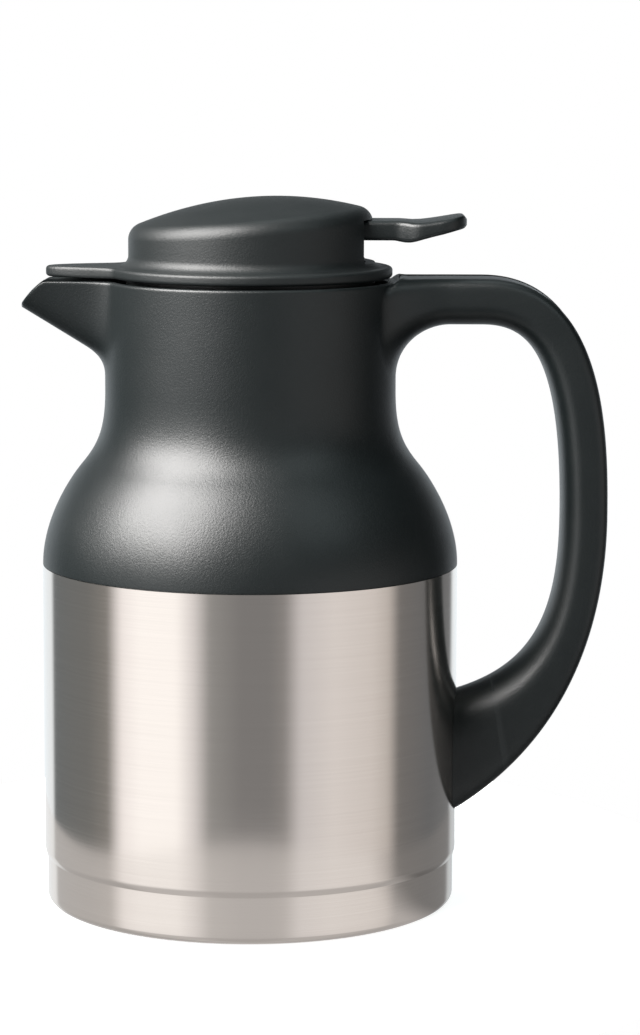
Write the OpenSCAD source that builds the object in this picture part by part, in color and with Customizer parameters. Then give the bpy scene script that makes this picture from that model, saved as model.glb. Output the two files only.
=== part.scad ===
// Thermal carafe: a steel vacuum bottle in a one-piece moulding of shoulder, spout and handle,
// closed by a screw-in lid whose thumb lever lifts the pouring valve.
// Origin at the centre of the underside, +Z up, spout towards -X, handle towards +X. Millimetres.

/* [Steel bottle] */
// Radius of the steel body
body_r = 70; // [64:0.5:76]
// Thickness of the steel sheet
sheet_t = 0.6; // [0.4:0.1:0.8]
// Height of the seam between the steel body and the shoulder
seam_z = 115.2; // [105:0.1:122]
// Height of the rolled bead above the base
bead_z = 15.5; // [11:0.5:20]
// Step from the body in to the base band
band_step = 0.8; // [0.7:0.1:1.4]
// Gap between the inner and outer walls
vacuum_gap = 5.8; // [4:0.1:7]
// Inside radius of the bottle's mouth
mouth_r = 37.4; // [35:0.1:38]
// Height of the bottle's mouth
mouth_z = 176; // [173:0.5:179]
// Thickness of the non-slip pad under the base
pad_t = 2.4; // [1.5:0.1:3]
// Radius of the non-slip pad
pad_r = 60; // [45:1:62]

/* [Shoulder and spout] */
// Outside radius of the neck
neck_r = 48.8; // [48:0.1:51]
// Wall thickness of the moulding
mould_wall = 2.6; // [2:0.1:3]
// Height where the shoulder has become the straight neck
neck_z = 174; // [168:0.5:178]
// Height of the pouring rim
rim_z = 210.6; // [207:0.1:216]
// Radius that rounds the rim
rim_round = 1; // [0.5:0.1:1.2]
// Reach of the spout's tip from the axis
spout_reach = 76.9; // [73:0.1:80]
// Height of the spout's tip below the rim
spout_drop = 8.5; // [6:0.1:10]
// Slope of the spout's underside, in degrees
spout_slope = 31.3; // [28:0.1:35]
// Half angle that the spout takes of the neck
spout_half_angle = 15.5; // [13:0.5:18]

/* [Handle] */
// Width of the grip
handle_w = 29; // [27:0.5:31]
// Reach of the grip from the axis
handle_reach = 120.1; // [114:0.1:126]
// Thickness of the grip at its middle
grip_t = 15.5; // [14:0.1:18]
// Height of the upper arm's top above the rim
arm_rise = 1.6; // [1:0.1:2.4]
// Thickness of the upper arm
arm_t = 16.1; // [14:0.1:18]
// Height where the foot leaves the body, lower end
foot_z0 = 32; // [26:0.5:36]
// Height where the foot leaves the body, upper end
foot_z1 = 71.5; // [68:0.5:78]
// Width of the cover strip along the back of the grip
strip_w = 21.5; // [18:0.5:22]
// Thickness of the cover strip
strip_t = 1.8; // [1.2:0.1:2.4]
// Depth of the strip below the grip's surface
strip_sink = 0.3; // [0.2:0.1:0.8]
// Height of the screw that holds the foot
foot_screw_z = 54; // [51:0.5:57]

/* [Lid] */
// Gap between the rim and the lid's flange
lid_gap = 1.1; // [0.7:0.1:1.8]
// Radius of the flange
flange_r = 47.5; // [46:0.1:49]
// Thickness of the flange
flange_t = 3.6; // [3:0.1:4]
// Reach of the tongue over the spout
tongue_reach = 68.5; // [64:0.1:70]
// Half angle that the tongue takes of the flange
tongue_half_angle = 17.5; // [15:0.5:20]
// Radius of the dome
dome_r = 40.9; // [40.5:0.1:41.5]
// Height of the dome above the flange
dome_h = 23.3; // [22.5:0.1:26]
// Radius of the dome's crown
crown_r = 115; // [105:1:140]
// Distance of the crown's peak behind the axis
crown_x = 9; // [5:0.5:12]
// Radius of the sweep from flange to dome
sweep_r = 3.6; // [3:0.1:4.5]
// Wall thickness of the lid
lid_wall = 2.4; // [2:0.1:2.5]
// Half width of the opening for the lever
notch_w = 15.8; // [14:0.1:17]

/* [Stopper and valve] */
// Depth of the plug below the mouth
plug_depth = 12; // [10:0.5:12.5]
// Side clearance of the plug in the mouth
plug_clear = 0.6; // [0.4:0.1:0.9]
// Wall thickness of the stopper
stopper_wall = 2.4; // [2.2:0.1:2.6]
// Starts of the coarse thread
thread_starts = 3; // [2:1:4]
// Rise of the lid in one turn
thread_lead = 24; // [20:1:28]
// Height of one thread ridge
ridge_h = 2.6; // [2:0.1:3]
// Radius of the pouring port
port_r = 10; // [7:0.5:11]
// Radius of the valve disc
disc_r = 15; // [14:0.5:17]
// Radius of the valve stem
stem_r = 3; // [2.5:0.1:3.2]
// Mean radius of the valve spring
spring_r = 8; // [7.6:0.1:9.5]
// Radius of the spring's wire
wire_r = 0.55; // [0.4:0.05:0.7]
// Turns of the spring
spring_turns = 6.5; // [5:0.5:8]

/* [Thumb lever] */
// Distance of the pivot behind the axis
pivot_x = 29.5; // [28.5:0.1:30.5]
// Reach of the thumb plate from the axis
lever_reach = 72.2; // [68:0.1:78]
// Thickness of the lever where it leaves the dome
lever_t = 6.4; // [6:0.1:7]
// Width of the lever where it leaves the dome
lever_w = 22.5; // [20:0.5:24]
// Width of the thumb plate
thumb_w = 29; // [26:0.5:34]
// Radius of the pivot pin
pin_r = 1.5; // [1.2:0.1:2]

/* [Clearances] */
// Radial clearance of the lever and stem bearings
run_fit = 0.05; // [0.03:0.01:0.08]
// Clearance of a pressed or screwed joint
press_fit = 0.02; // [0.01:0.01:0.05]
// Gap between pieces that move past each other
move_gap = 0.3; // [0.25:0.05:0.4]
// Gap between fixed pieces that are only laid together
lay_gap = 0.2; // [0.1:0.05:0.3]

/* [Hidden] */
$fn = 96;

// Shoulder: where its curve turns from convex to concave, and how far its tangents reach
turn_r = neck_r + 0.377 * (body_r - neck_r);
turn_z = seam_z + 0.568 * (neck_z - seam_z);
turn_lean = 39.5;
shoulder_reach = 0.23 * (neck_z - seam_z);
shoulder_turn_reach = 0.145 * (neck_z - seam_z);
curve_steps = 8;

// Bottle
band_r = body_r - band_step;
band_lap = 4;
base_round = 2.5;
cup_floor_z = pad_t + press_fit;
liner_r = body_r - sheet_t - vacuum_gap;
liner_floor_z = cup_floor_z + sheet_t + 6.5;
liner_round = 9;
steel_neck_r = neck_r - mould_wall - 3.6;
shell_gap = 0.3;
bore_r = neck_r - mould_wall;
getter_r = 9;
getter_t = 0.8;
seal_hole_r = 2;

// Neck ring, thread and mouth
thread_r = mouth_r + 3.6;
ridge_depth = 1.9;
ridge_in_r = thread_r - ridge_depth;
stopper_r = ridge_in_r - 0.4;
ridge_out_r = thread_r - move_gap;
gasket_t = 1.4;
ring_flange_z = mouth_z + gasket_t;
ring_floor_z = ring_flange_z + 2.6;
ring_skirt = 4;
ridge_span = 84;
ridge_play = 0.4;
ridge_steps = 12;
ridge_half_rise = thread_lead * ridge_span / 720 + ridge_h / 2;
stopper_ridge_z = ring_floor_z + move_gap + ridge_half_rise;
ring_ridge_z = stopper_ridge_z + ridge_h + ridge_play;
ring_top_z = ring_ridge_z + ridge_half_rise + 0.5;

// Spout
tip_z = rim_z - spout_drop;
spout_tan = tan(spout_slope);
keel_end_z = tip_z - 0.65;
fillet_reach = 4.7;
fillet_top_z = keel_end_z - (spout_reach - neck_r - fillet_reach) * spout_tan;
fillet_power = 2.7;
fillet_bottom_z = fillet_top_z - fillet_power * fillet_reach * spout_tan;
trough_z = ring_top_z;
trough_wall = 2.3;
trough_end = spout_reach - 1.2;

// Handle
arm_z = rim_z + arm_rise;
grip_mid_z = 132.5;
arm_end_x = 78;
strip_start_x = 50.5;
strip_depth = strip_t + strip_sink;
strip_end = 4.5;
screw_r = 1.9;
boss_r = 4.6;
boss_end = body_r + 8;

// Lid and stopper
lid_z0 = rim_z + lid_gap;
lid_z1 = lid_z0 + flange_t;
crown_z = lid_z1 + dome_h;
dome_in_r = dome_r - lid_wall;
flange_round = 1.2;
plug_r = mouth_r - plug_clear;
plug_z = mouth_z - plug_depth;
plug_floor_t = 2.5;
chamber_r = plug_r - stopper_wall;
groove_r = plug_r - 1.2;
seal_t = 2;
seal_z = mouth_z + move_gap;
thread_foot_z = seal_z + seal_t + move_gap;
deck_r = stopper_r - stopper_wall;
deck_z = rim_z - 7.6;
deck_t = 2.5;
screw_boss_r = 3.4;
screw_boss_at = chamber_r - 3;
screw_angles = [0, 120, 240];
lid_screw_r = 1.25;
window_w = 26;
collar_t = 2;
collar_r = stopper_r + 3;

// Valve
floor_top_z = plug_z + plug_floor_t;
seat_r = port_r + 1.5;
seat_w = 2.5;
seat_h = 1.5;
valve_z = floor_top_z + seat_h + move_gap;
valve_seal_t = 2;
disc_z = valve_z + valve_seal_t;
disc_t = 2.5;
hub_r = stem_r + 2.5;
hub_h = 4;
stem_z = disc_z + 1.5;
guide_r = stem_r + 2.5;
guide_drop = 5;
guide_rise = 5;
ring_wire = 1;

// Lever
lever_top_z = lid_z1 + 15.6;
pivot_z = lever_top_z - lever_t / 2;
ear_gap = 9.3;
ear_t = 2.5;
ear_half = 4.2;
boss_pin_r = pin_r + 2.5;
fork_slot = stem_r + 0.6;
fork_w = stem_r + 4;
fork_z = pivot_z - 4.7;
fork_bump_r = 2;
nut_z = fork_z + fork_bump_r + move_gap;
nut_r = stem_r + 2.5;
nut_t = 2.5;
notch_top_z = lever_top_z + 0.5;
notch_foot_z = lid_z1 + 1.6;

// Colours
steel = [0.74, 0.68, 0.64];
charcoal = [0.17, 0.18, 0.18];
strip_black = [0.07, 0.08, 0.08];
rubber = [0.1, 0.1, 0.1];
silicone = [0.85, 0.85, 0.82];

// A point on a cubic curve through four control points
function curve_at(a, b, c, d, t) =
    pow(1 - t, 3) * a + 3 * pow(1 - t, 2) * t * b + 3 * (1 - t) * t * t * c + pow(t, 3) * d;

// The curve's direction at the same place, as a unit vector
function curve_dir(a, b, c, d, t) =
    let (v = pow(1 - t, 2) * (b - a) + 2 * (1 - t) * t * (c - b) + t * t * (d - c))
    v / norm(v);

function curve_points(a, b, c, d, n, first = 0) =
    [for (i = [first : n]) curve_at(a, b, c, d, i / n)];

// A quarter round about c, from angle a0 to a1
function arc_points(c, r, a0, a1, n) =
    [for (i = [0 : n]) c + r * [cos(a0 + (a1 - a0) * i / n), sin(a0 + (a1 - a0) * i / n)]];

// The shoulder's two curves: body to turning point, turning point to neck
turn = [turn_r, turn_z];
lean = [-sin(turn_lean), cos(turn_lean)];
lower_curve = [
    [body_r, seam_z],
    [body_r, seam_z + shoulder_reach],
    turn - shoulder_turn_reach * lean,
    turn
];
upper_curve = [
    turn,
    turn + shoulder_turn_reach * lean,
    [neck_r, neck_z - shoulder_reach],
    [neck_r, neck_z]
];

// The shoulder moved inwards by d0 at the body and d1 at the neck
function shoulder(d0, d1) = [
    for (half = [0, 1])
        let (c = half == 0 ? lower_curve : upper_curve)
        for (i = [half : curve_steps])
            let (
                t = i / curve_steps,
                p = curve_at(c[0], c[1], c[2], c[3], t),
                u = curve_dir(c[0], c[1], c[2], c[3], t),
                along = (half + t) / 2,
                d = d0 + (d1 - d0) * pow(min(along / 0.93, 1), 2)
            )
            p + d * [-u[1], u[0]]
];

function reversed(list) = [for (i = [len(list) - 1 : -1 : 0]) list[i]];

// A closed skin over rings of equal length, each running anticlockwise seen from the last ring.
// Its two ends are closed by strips that join each point to its mirror point.
module skin(rings) {
    n = len(rings[0]);
    m = len(rings);
    sides = [
        for (k = [0 : m - 2], j = [0 : n - 1])
            let (i = (j + 1) % n, a = k * n + j, b = k * n + i, c = a + n, d = b + n)
            each [[a, c, d], [a, d, b]]
    ];
    strips = [
        for (j = [0 : ceil(n / 2) - 2])
            let (a = j, b = j + 1, c = n - 2 - j, d = n - 1 - j)
            each [[a, b, c], [a, c, d]]
    ];
    foot = [for (f = strips) if (f[1] != f[2] && f[0] != f[2]) f];
    head = [for (f = foot) [f[2], f[1], f[0]] + (m - 1) * n * [1, 1, 1]];
    polyhedron(points = [for (r = rings) each r], faces = concat(sides, foot, head), convexity = 8);
}

// The same skin, but closed by a fan about one point at each end
module domed_skin(rings, foot_point, head_point) {
    n = len(rings[0]);
    m = len(rings);
    sides = [
        for (k = [0 : m - 2], j = [0 : n - 1])
            let (i = (j + 1) % n, a = k * n + j, b = k * n + i, c = a + n, d = b + n)
            each [[a, c, d], [a, d, b]]
    ];
    foot = [for (j = [0 : n - 1]) [j, (j + 1) % n, m * n]];
    head = [for (j = [0 : n - 1]) [(m - 1) * n + (j + 1) % n, (m - 1) * n + j, m * n + 1]];
    points = concat([for (r = rings) each r], [foot_point, head_point]);
    polyhedron(points = points, faces = concat(sides, foot, head), convexity = 8);
}

// A ridge that climbs with the thread: section corners at radii r0 (inner) and r1 (outer)
module ridge(r0, r1, mid_z, start) {
    rings = [
        for (i = [0 : ridge_steps])
            let (
                a = start + ridge_span * i / ridge_steps,
                z = mid_z + thread_lead * (ridge_span * (i / ridge_steps - 0.5)) / 360,
                h = ridge_h / 2
            )
            [for (c = [[r1, h], [r1, -h], [r0, -h], [r0, h]]) [c[0] * cos(a), c[0] * sin(a), z + c[1]]]
    ];
    skin(rings);
}

module ridges(r0, r1, mid_z) {
    for (i = [0 : thread_starts - 1])
        ridge(r0, r1, mid_z, 360 * i / thread_starts + 48);
}

// How far the spout or tongue stands out of its circle at angle a from the -X axis
function bump(a, half_angle, power) =
    abs(a) >= half_angle ? 0 : pow(1 - pow(abs(a) / half_angle, power), 2);

// Reach of the spout's keel at height z
function keel(z) =
    z <= fillet_bottom_z ? neck_r :
    z < fillet_top_z ? neck_r + fillet_reach
        * pow((z - fillet_bottom_z) / (fillet_top_z - fillet_bottom_z), fillet_power) :
    min(neck_r + fillet_reach + (z - fillet_top_z) / spout_tan, spout_reach);

// Reach of the trough's floor at height z
function trough(z) =
    min(spout_reach - (keel_end_z + trough_wall / cos(spout_slope) - z) / spout_tan, trough_end);

spout_steps = 12;
bury = 0.25;

function spout_ring(z, inset) = concat(
    [
        for (i = [-spout_steps : spout_steps])
            let (
                a = spout_half_angle * i / spout_steps,
                r = neck_r - bury - inset
                    + (keel(z) - neck_r + bury) * bump(a, spout_half_angle, 3)
            )
            [-r * cos(a), -r * sin(a), z]
    ],
    [
        for (i = [spout_steps : -1 : -spout_steps])
            let (a = spout_half_angle * i / spout_steps, r = bore_r + 0.8)
            [-r * cos(a), -r * sin(a), z]
    ]
);

module spout_skin() {
    rises = concat(
        [for (i = [1 : 6]) [fillet_bottom_z + (fillet_top_z - fillet_bottom_z) * i / 6, 0]],
        [for (i = [1 : 6]) [fillet_top_z + (keel_end_z - fillet_top_z) * i / 6, 0]],
        [[rim_z - rim_round, 0], [rim_z - 0.4 * rim_round, 0.25 * rim_round], [rim_z, rim_round]]
    );
    skin([for (s = rises) spout_ring(s[0], s[1])]);
}

module trough_skin() {
    half = spout_half_angle - 2.6;
    rises = concat(
        [for (i = [0 : 5]) trough_z + (keel_end_z + trough_wall - trough_z) * i / 5],
        [rim_z - 3, rim_z + 2]
    );
    skin([
        for (z = rises) concat(
            [
                for (i = [-spout_steps : spout_steps])
                    let (
                        a = half * i / spout_steps,
                        r = bore_r - bury + (max(bore_r + 3, trough(z)) - bore_r + bury) * bump(a, half, 3)
                    )
                    [-r * cos(a), -r * sin(a), z]
            ],
            [
                for (i = [spout_steps : -1 : -spout_steps])
                    let (a = half * i / spout_steps, r = bore_r - 6)
                    [-r * cos(a), -r * sin(a), z]
            ]
        )
    ]);
}

// What is cut from the spout in front of its mouth, which bulges a little in side view
module spout_mouth() {
    edge = curve_points(
        [spout_reach, tip_z + 0.2], [spout_reach - 2.6, tip_z + 3.8],
        [spout_reach - 5.2, rim_z - 1.2], [spout_reach - 8.3, rim_z + 0.03], 5
    );
    outside = [[spout_reach - 8.3, rim_z + 6], [spout_reach + 6, rim_z + 6], [spout_reach + 6, tip_z + 0.2]];
    translate([0, 30, 0]) rotate([90, 0, 0]) linear_extrude(60)
        polygon([for (q = concat(edge, outside)) [-q[0], q[1]]]);
}

// Handle: outer and inner outline, each of four curves, and the width between them
out_corner = [arm_end_x, arm_z];
out_mid = [handle_reach, grip_mid_z];
in_mid = [handle_reach - grip_t, grip_mid_z];
arm_under_z = arm_z - arm_t;
root_z = arm_under_z - 18.2;
root_x = 67;
foot_bury = 8;
out_foot = [body_r, foot_z0];
in_foot = [body_r, foot_z1];
out_foot_dir = [-cos(32.6), -sin(32.6)];
in_foot_dir = [-cos(17.1), -sin(17.1)];

out_curves = [
    [[neck_r - 7, arm_z], [50, arm_z], [59, arm_z], [root_x, arm_z]],
    [[root_x, arm_z], [71, arm_z], [75, arm_z], out_corner],
    [out_corner, out_corner + [40.6, 0], out_mid + [0, 28.3], out_mid],
    [out_mid, out_mid - [0, 35.9], out_foot - 45.8 * out_foot_dir, out_foot]
];
in_curves = [
    [[neck_r, root_z], [neck_r, root_z + 11.7], [root_x - 8.6, arm_under_z], [root_x, arm_under_z]],
    [[root_x, arm_under_z], [70, arm_under_z], [74, arm_under_z], [77.3, arm_under_z]],
    [[77.3, arm_under_z], [91.3, arm_under_z], in_mid + [0, 57.2], in_mid],
    [in_mid, in_mid - [0, 35], in_foot - 28 * in_foot_dir, in_foot]
];
handle_steps = [8, 3, 15, 16];

// Places along the handle as [outer point, inner point, half width]
function flare(x) = x > 62 ? 0 : 4 * pow((62 - max(x, 44)) / 18, 2);
handle_places = concat(
    [[[neck_r - 7, arm_z], [neck_r - 7, root_z + 1], handle_w / 2 + 4]],
    [
        for (s = [0 : 3], i = [(s == 0 ? 0 : 1) : handle_steps[s]])
            let (
                t = i / handle_steps[s],
                o = out_curves[s],
                q = in_curves[s],
                out = curve_at(o[0], o[1], o[2], o[3], t),
                in = curve_at(q[0], q[1], q[2], q[3], t)
            )
            [out, in, handle_w / 2 + flare((out[0] + in[0]) / 2)]
    ],
    [[out_foot + foot_bury * out_foot_dir, in_foot + foot_bury * in_foot_dir, handle_w / 2]]
);
// How square the section is on its outer and on its inner side
outer_power = 5.5;
inner_power = 2.5;
ring_half = 12;

// Half width of the strip's recess at a place along the handle
function strip_half(k) =
    let (
        first = handle_places[strip_first][0],
        last = handle_places[strip_last][0],
        here = handle_places[k][0],
        d = min(norm(here - first), norm(here - last), strip_end),
        h = strip_w / 2
    )
    max(h * sqrt(1 - pow(1 - d / strip_end, 2)), 0.3);
strip_first = [for (k = [0 : len(handle_places) - 1]) if (handle_places[k][0][0] > strip_start_x) k][0];
strip_last = len(handle_places) - 4;

// One section of the handle: a rounded slab with the strip's recess in its outer face
function handle_section(k, sunk) =
    let (
        p = handle_places[k],
        c = (p[0] + p[1]) / 2,
        a = norm(p[0] - p[1]) / 2,
        b = p[2],
        u = (p[0] - p[1]) / (2 * a),
        open = k >= strip_first && k <= strip_last,
        h = open ? strip_half(k) : strip_w / 2,
        top = strip_top(k),
        drop = open ? sunk : 0.08,
        first = asin(pow(strip_w / 2 / b, outer_power / 2)) + 5,
        edge = concat(
            [[top, h]],
            [
                for (i = [0 : ring_half])
                    let (
                        g = first + (180 - first) * i / ring_half,
                        side = cos(g) < 0 ? -1 : 1,
                        e = 2 / (cos(g) < 0 ? inner_power : outer_power)
                    )
                    [side * a * pow(abs(cos(g)), e), b * pow(max(sin(g), 0), e)]
            ]
        ),
        right = concat([[top - drop, h]], edge),
        left = [for (q = reversed(right)) if (q[1] > 0.001) [q[0], -q[1]]]
    )
    [for (q = concat(right, left)) [c[0] + u[0] * q[0], -q[1], c[1] + u[1] * q[0]]];

// Distance of the recess's lips from the section's centre line
function strip_top(k) =
    let (p = handle_places[k])
    norm(p[0] - p[1]) / 2 * pow(1 - pow(strip_w / 2 / p[2], outer_power), 1 / outer_power);

module handle_skin() {
    skin([for (k = [0 : len(handle_places) - 1]) handle_section(k, strip_depth)]);
}

module outer_shell() {
    t = sheet_t;
    neck_top = mouth_z - t;
    out = concat(
        [[body_r, bead_z], [body_r, seam_z]],
        shoulder(mould_wall + shell_gap, neck_r - steel_neck_r),
        [[steel_neck_r, neck_top]]
    );
    curve = shoulder(mould_wall + shell_gap + t, neck_r - steel_neck_r + t);
    in = concat(
        [[body_r - t, bead_z], [body_r - t, seam_z - t], curve[0] - [0, t]],
        [for (i = [1 : len(curve) - 1]) curve[i]],
        [[steel_neck_r - t, neck_top]]
    );
    color(steel) rotate_extrude() polygon(concat(out, reversed(in)));
}

module base_cup() {
    t = sheet_t;
    ring_r = pad_r + lay_gap;
    out = concat(
        [[0, cup_floor_z], [ring_r, cup_floor_z], [ring_r, 0]],
        arc_points([band_r - base_round, base_round], base_round, -90, 0, 4),
        [
            [band_r, bead_z - 1.6], [band_r + 0.5, bead_z - 1.2],
            [band_r + 0.5, bead_z - 0.6], [band_r, bead_z - 0.2],
            [band_r, bead_z + band_lap]
        ]
    );
    in = concat(
        [[0, cup_floor_z + t], [ring_r + t, cup_floor_z + t], [ring_r + t, t]],
        arc_points([band_r - base_round, base_round], base_round - t, -90, 0, 4),
        [[band_r - t, bead_z + band_lap]]
    );
    color(steel) difference() {
        rotate_extrude() polygon(concat(out, reversed(in)));
        translate([0, 0, -1]) cylinder(r = seal_hole_r, h = cup_floor_z + t + 2);
    }
}

module inner_liner() {
    t = sheet_t;
    c = [liner_r - liner_round, liner_floor_z + liner_round];
    d0 = body_r - liner_r;
    d1 = neck_r - mouth_r - t;
    out = concat(
        [[0, liner_floor_z]],
        arc_points(c, liner_round, -90, 0, 6),
        shoulder(d0, d1),
        [[mouth_r + t, mouth_z - t], [steel_neck_r, mouth_z - t], [steel_neck_r, mouth_z]]
    );
    in = concat(
        [[0, liner_floor_z + t]],
        arc_points(c, liner_round - t, -90, 0, 6),
        shoulder(d0 + t, d1 + t),
        [[mouth_r, mouth_z]]
    );
    color(steel) rotate_extrude() polygon(concat(out, reversed(in)));
}

module getter() {
    color("dimgray") translate([0, 0, liner_floor_z - getter_t]) cylinder(r = getter_r, h = getter_t);
}

module vacuum_seal() {
    top = cup_floor_z + sheet_t;
    color("gray") {
        translate([0, 0, top]) cylinder(r = seal_hole_r + 2.5, h = 1.6);
        translate([0, 0, cup_floor_z]) cylinder(r = seal_hole_r - press_fit, h = sheet_t);
    }
}

module base_pad() {
    color(rubber) cylinder(r = pad_r, h = pad_t);
}

// Solid of revolution inside the moulding, from the seam up through the rim
module mould_bore() {
    rotate_extrude() polygon(concat(
        [[0, seam_z - 1], [body_r - mould_wall, seam_z - 1]],
        shoulder(mould_wall, mould_wall),
        [[bore_r, rim_z + 5], [0, rim_z + 5]]
    ));
}

module foot_screw_axis(x0) {
    translate([x0, 0, foot_screw_z]) rotate([0, 90, 0]) children();
}

screw_head_x = boss_end + 5.5;

module shoulder_and_handle() {
    color(charcoal) difference() {
        union() {
            rotate_extrude() polygon(concat(
                [[0, seam_z]],
                shoulder(0, 0),
                arc_points([neck_r - rim_round, rim_z - rim_round], rim_round, 0, 90, 4),
                [[0, rim_z]]
            ));
            spout_skin();
            difference() {
                handle_skin();
                cylinder(r = body_r, h = seam_z - 5);
            }
        }
        mould_bore();
        trough_skin();
        spout_mouth();
        // Room for the turning flange above the rim
        translate([0, 0, rim_z]) cylinder(r = flange_r + 1, h = arm_rise + 5);
        // Pocket for the bracket's boss, and the screw's way in from the recess
        foot_screw_axis(body_r - 5) cylinder(r = boss_r + lay_gap, h = boss_end + lay_gap - body_r + 5);
        foot_screw_axis(body_r - 3.5) cylinder(r = 9 + lay_gap, h = 5);
        foot_screw_axis(boss_end - 1) cylinder(r = screw_r + lay_gap, h = 10);
        foot_screw_axis(screw_head_x) cylinder(r = screw_r + 2.2, h = 30);
    }
}

module handle_strip() {
    h = strip_w / 2 - lay_gap;
    color(strip_black) skin([
        for (k = [strip_first : strip_last])
            let (
                p = handle_places[k],
                c = (p[0] + p[1]) / 2,
                u = (p[0] - p[1]) / norm(p[0] - p[1]),
                w = strip_half(k) * h / (strip_w / 2),
                floor_x = strip_top(k) - strip_depth,
                face_x = floor_x + strip_t,
                right = [[floor_x, w], [face_x - 0.4, w], [face_x, 0.9 * w], [face_x + 0.15, 0.3 * w]]
            )
            [
                for (q = concat(right, [for (r = reversed(right)) [r[0], -r[1]]]))
                    [c[0] + u[0] * q[0], q[1], c[1] + u[1] * q[0]]
            ]
    ]);
}

module handle_bracket() {
    color(steel) difference() {
        union() {
            intersection() {
                foot_screw_axis(body_r - 3) cylinder(r = 9, h = 8);
                difference() {
                    cylinder(r = body_r + 1.2, h = seam_z);
                    cylinder(r = body_r, h = seam_z);
                }
            }
            difference() {
                foot_screw_axis(body_r - 3) cylinder(r = boss_r, h = boss_end - body_r + 3);
                cylinder(r = body_r, h = seam_z);
            }
        }
        foot_screw_axis(body_r + 1) cylinder(r = screw_r, h = 12);
    }
}

module handle_screw() {
    color("silver") difference() {
        union() {
            foot_screw_axis(body_r + 2) cylinder(r = screw_r - press_fit, h = screw_head_x - body_r - 2);
            foot_screw_axis(screw_head_x) cylinder(r = screw_r + 1.8, h = 2.4);
        }
        foot_screw_axis(screw_head_x + 1) cylinder(r = 1.3, h = 5, $fn = 6);
    }
}

module mouth_gasket() {
    color(silicone) translate([0, 0, mouth_z]) difference() {
        cylinder(r = steel_neck_r - 0.2, h = gasket_t);
        translate([0, 0, -1]) cylinder(r = ridge_in_r + 0.5, h = gasket_t + 2);
    }
}

module neck_ring() {
    color(charcoal) {
        rotate_extrude() polygon([
            [steel_neck_r + 2 * lay_gap, mouth_z - ring_skirt],
            [bore_r - press_fit, mouth_z - ring_skirt], [bore_r - press_fit, ring_top_z],
            [thread_r, ring_top_z], [thread_r, ring_floor_z],
            [ridge_in_r, ring_floor_z], [ridge_in_r, ring_flange_z],
            [steel_neck_r + 2 * lay_gap, ring_flange_z]
        ]);
        ridges(ridge_in_r, thread_r + 0.5, ring_ridge_z);
    }
}

module stopper_seal() {
    color(silicone) translate([0, 0, seal_z]) difference() {
        cylinder(r = ridge_in_r - move_gap, h = seal_t);
        translate([0, 0, -1]) cylinder(r = groove_r + move_gap, h = seal_t + 2);
    }
}

module stopper_body() {
    color(charcoal) difference() {
        union() {
            rotate_extrude() polygon([
                [0, plug_z], [plug_r, plug_z], [plug_r, mouth_z], [groove_r, mouth_z],
                [groove_r, thread_foot_z], [stopper_r, thread_foot_z],
                [stopper_r, lid_z0 - collar_t], [collar_r, lid_z0 - collar_t],
                [collar_r, lid_z0], [dome_in_r - 0.3, lid_z0], [dome_in_r - 0.3, lid_z0 + 3.8],
                [deck_r, lid_z0 + 3.8], [deck_r, deck_z], [chamber_r, deck_z],
                [chamber_r, floor_top_z], [seat_r + seat_w, floor_top_z],
                [seat_r + seat_w, floor_top_z + seat_h], [seat_r, floor_top_z + seat_h],
                [seat_r, floor_top_z], [0, floor_top_z]
            ]);
            ridges(stopper_r - 0.5, ridge_out_r, stopper_ridge_z);
            for (a = screw_angles)
                rotate([0, 0, a]) translate([screw_boss_at, 0, floor_top_z])
                    cylinder(r = screw_boss_r, h = deck_z - lay_gap - floor_top_z);
        }
        translate([0, 0, plug_z - 1]) cylinder(r = port_r, h = plug_floor_t + 2);
        translate([-stopper_r - 2, -window_w / 2, ring_top_z + 0.5])
            cube([9, window_w, deck_z - ring_top_z - 2]);
        for (a = screw_angles)
            rotate([0, 0, a]) translate([screw_boss_at, 0, deck_z - 9])
                cylinder(r = lid_screw_r, h = 10);
    }
}

module stopper_deck() {
    top = deck_z + deck_t;
    ear_w = 2 * ear_half;
    color(charcoal) difference() {
        union() {
            translate([0, 0, deck_z]) cylinder(r = deck_r - 0.1, h = deck_t);
            translate([0, 0, deck_z - guide_drop]) cylinder(r = guide_r, h = guide_drop + 1);
            translate([0, 0, top - 1]) cylinder(r = guide_r + 1, h = guide_rise + 1);
            for (s = [-1, 1])
                translate([pivot_x, s * (ear_gap + ear_t / 2), 0]) {
                    translate([-ear_half, -ear_t / 2, top - 1]) cube([ear_w, ear_t, pivot_z - top + 1]);
                    translate([0, 0, pivot_z]) rotate([90, 0, 0])
                        cylinder(r = ear_half, h = ear_t, center = true);
                }
        }
        translate([0, 0, deck_z - guide_drop - 1])
            cylinder(r = stem_r + run_fit, h = guide_drop + deck_t + guide_rise + 2);
        // Seat of the stem's seal, open at the top
        translate([0, 0, top + guide_rise - 2.6]) cylinder(r = guide_r - 0.3, h = 5);
        translate([pivot_x, 0, pivot_z]) rotate([90, 0, 0])
            cylinder(r = pin_r + press_fit, h = 60, center = true);
        for (a = screw_angles)
            rotate([0, 0, a]) translate([screw_boss_at, 0, deck_z - 1])
                cylinder(r = lid_screw_r + 0.35, h = deck_t + 2);
    }
}

module deck_screws() {
    color("silver") for (a = screw_angles)
        rotate([0, 0, a]) translate([screw_boss_at, 0, deck_z]) {
            translate([0, 0, -8]) cylinder(r = lid_screw_r - press_fit, h = 8 + deck_t);
            translate([0, 0, deck_t]) cylinder(r = lid_screw_r + 1.5, h = 1.8);
        }
}

module stem_seal() {
    z = deck_z + deck_t + guide_rise - 2.55 + ring_wire;
    mid_r = (stem_r + guide_r - 0.3) / 2 + 0.05;
    color(silicone) translate([0, 0, z]) rotate_extrude() translate([mid_r, 0]) circle(r = ring_wire);
}

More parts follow.
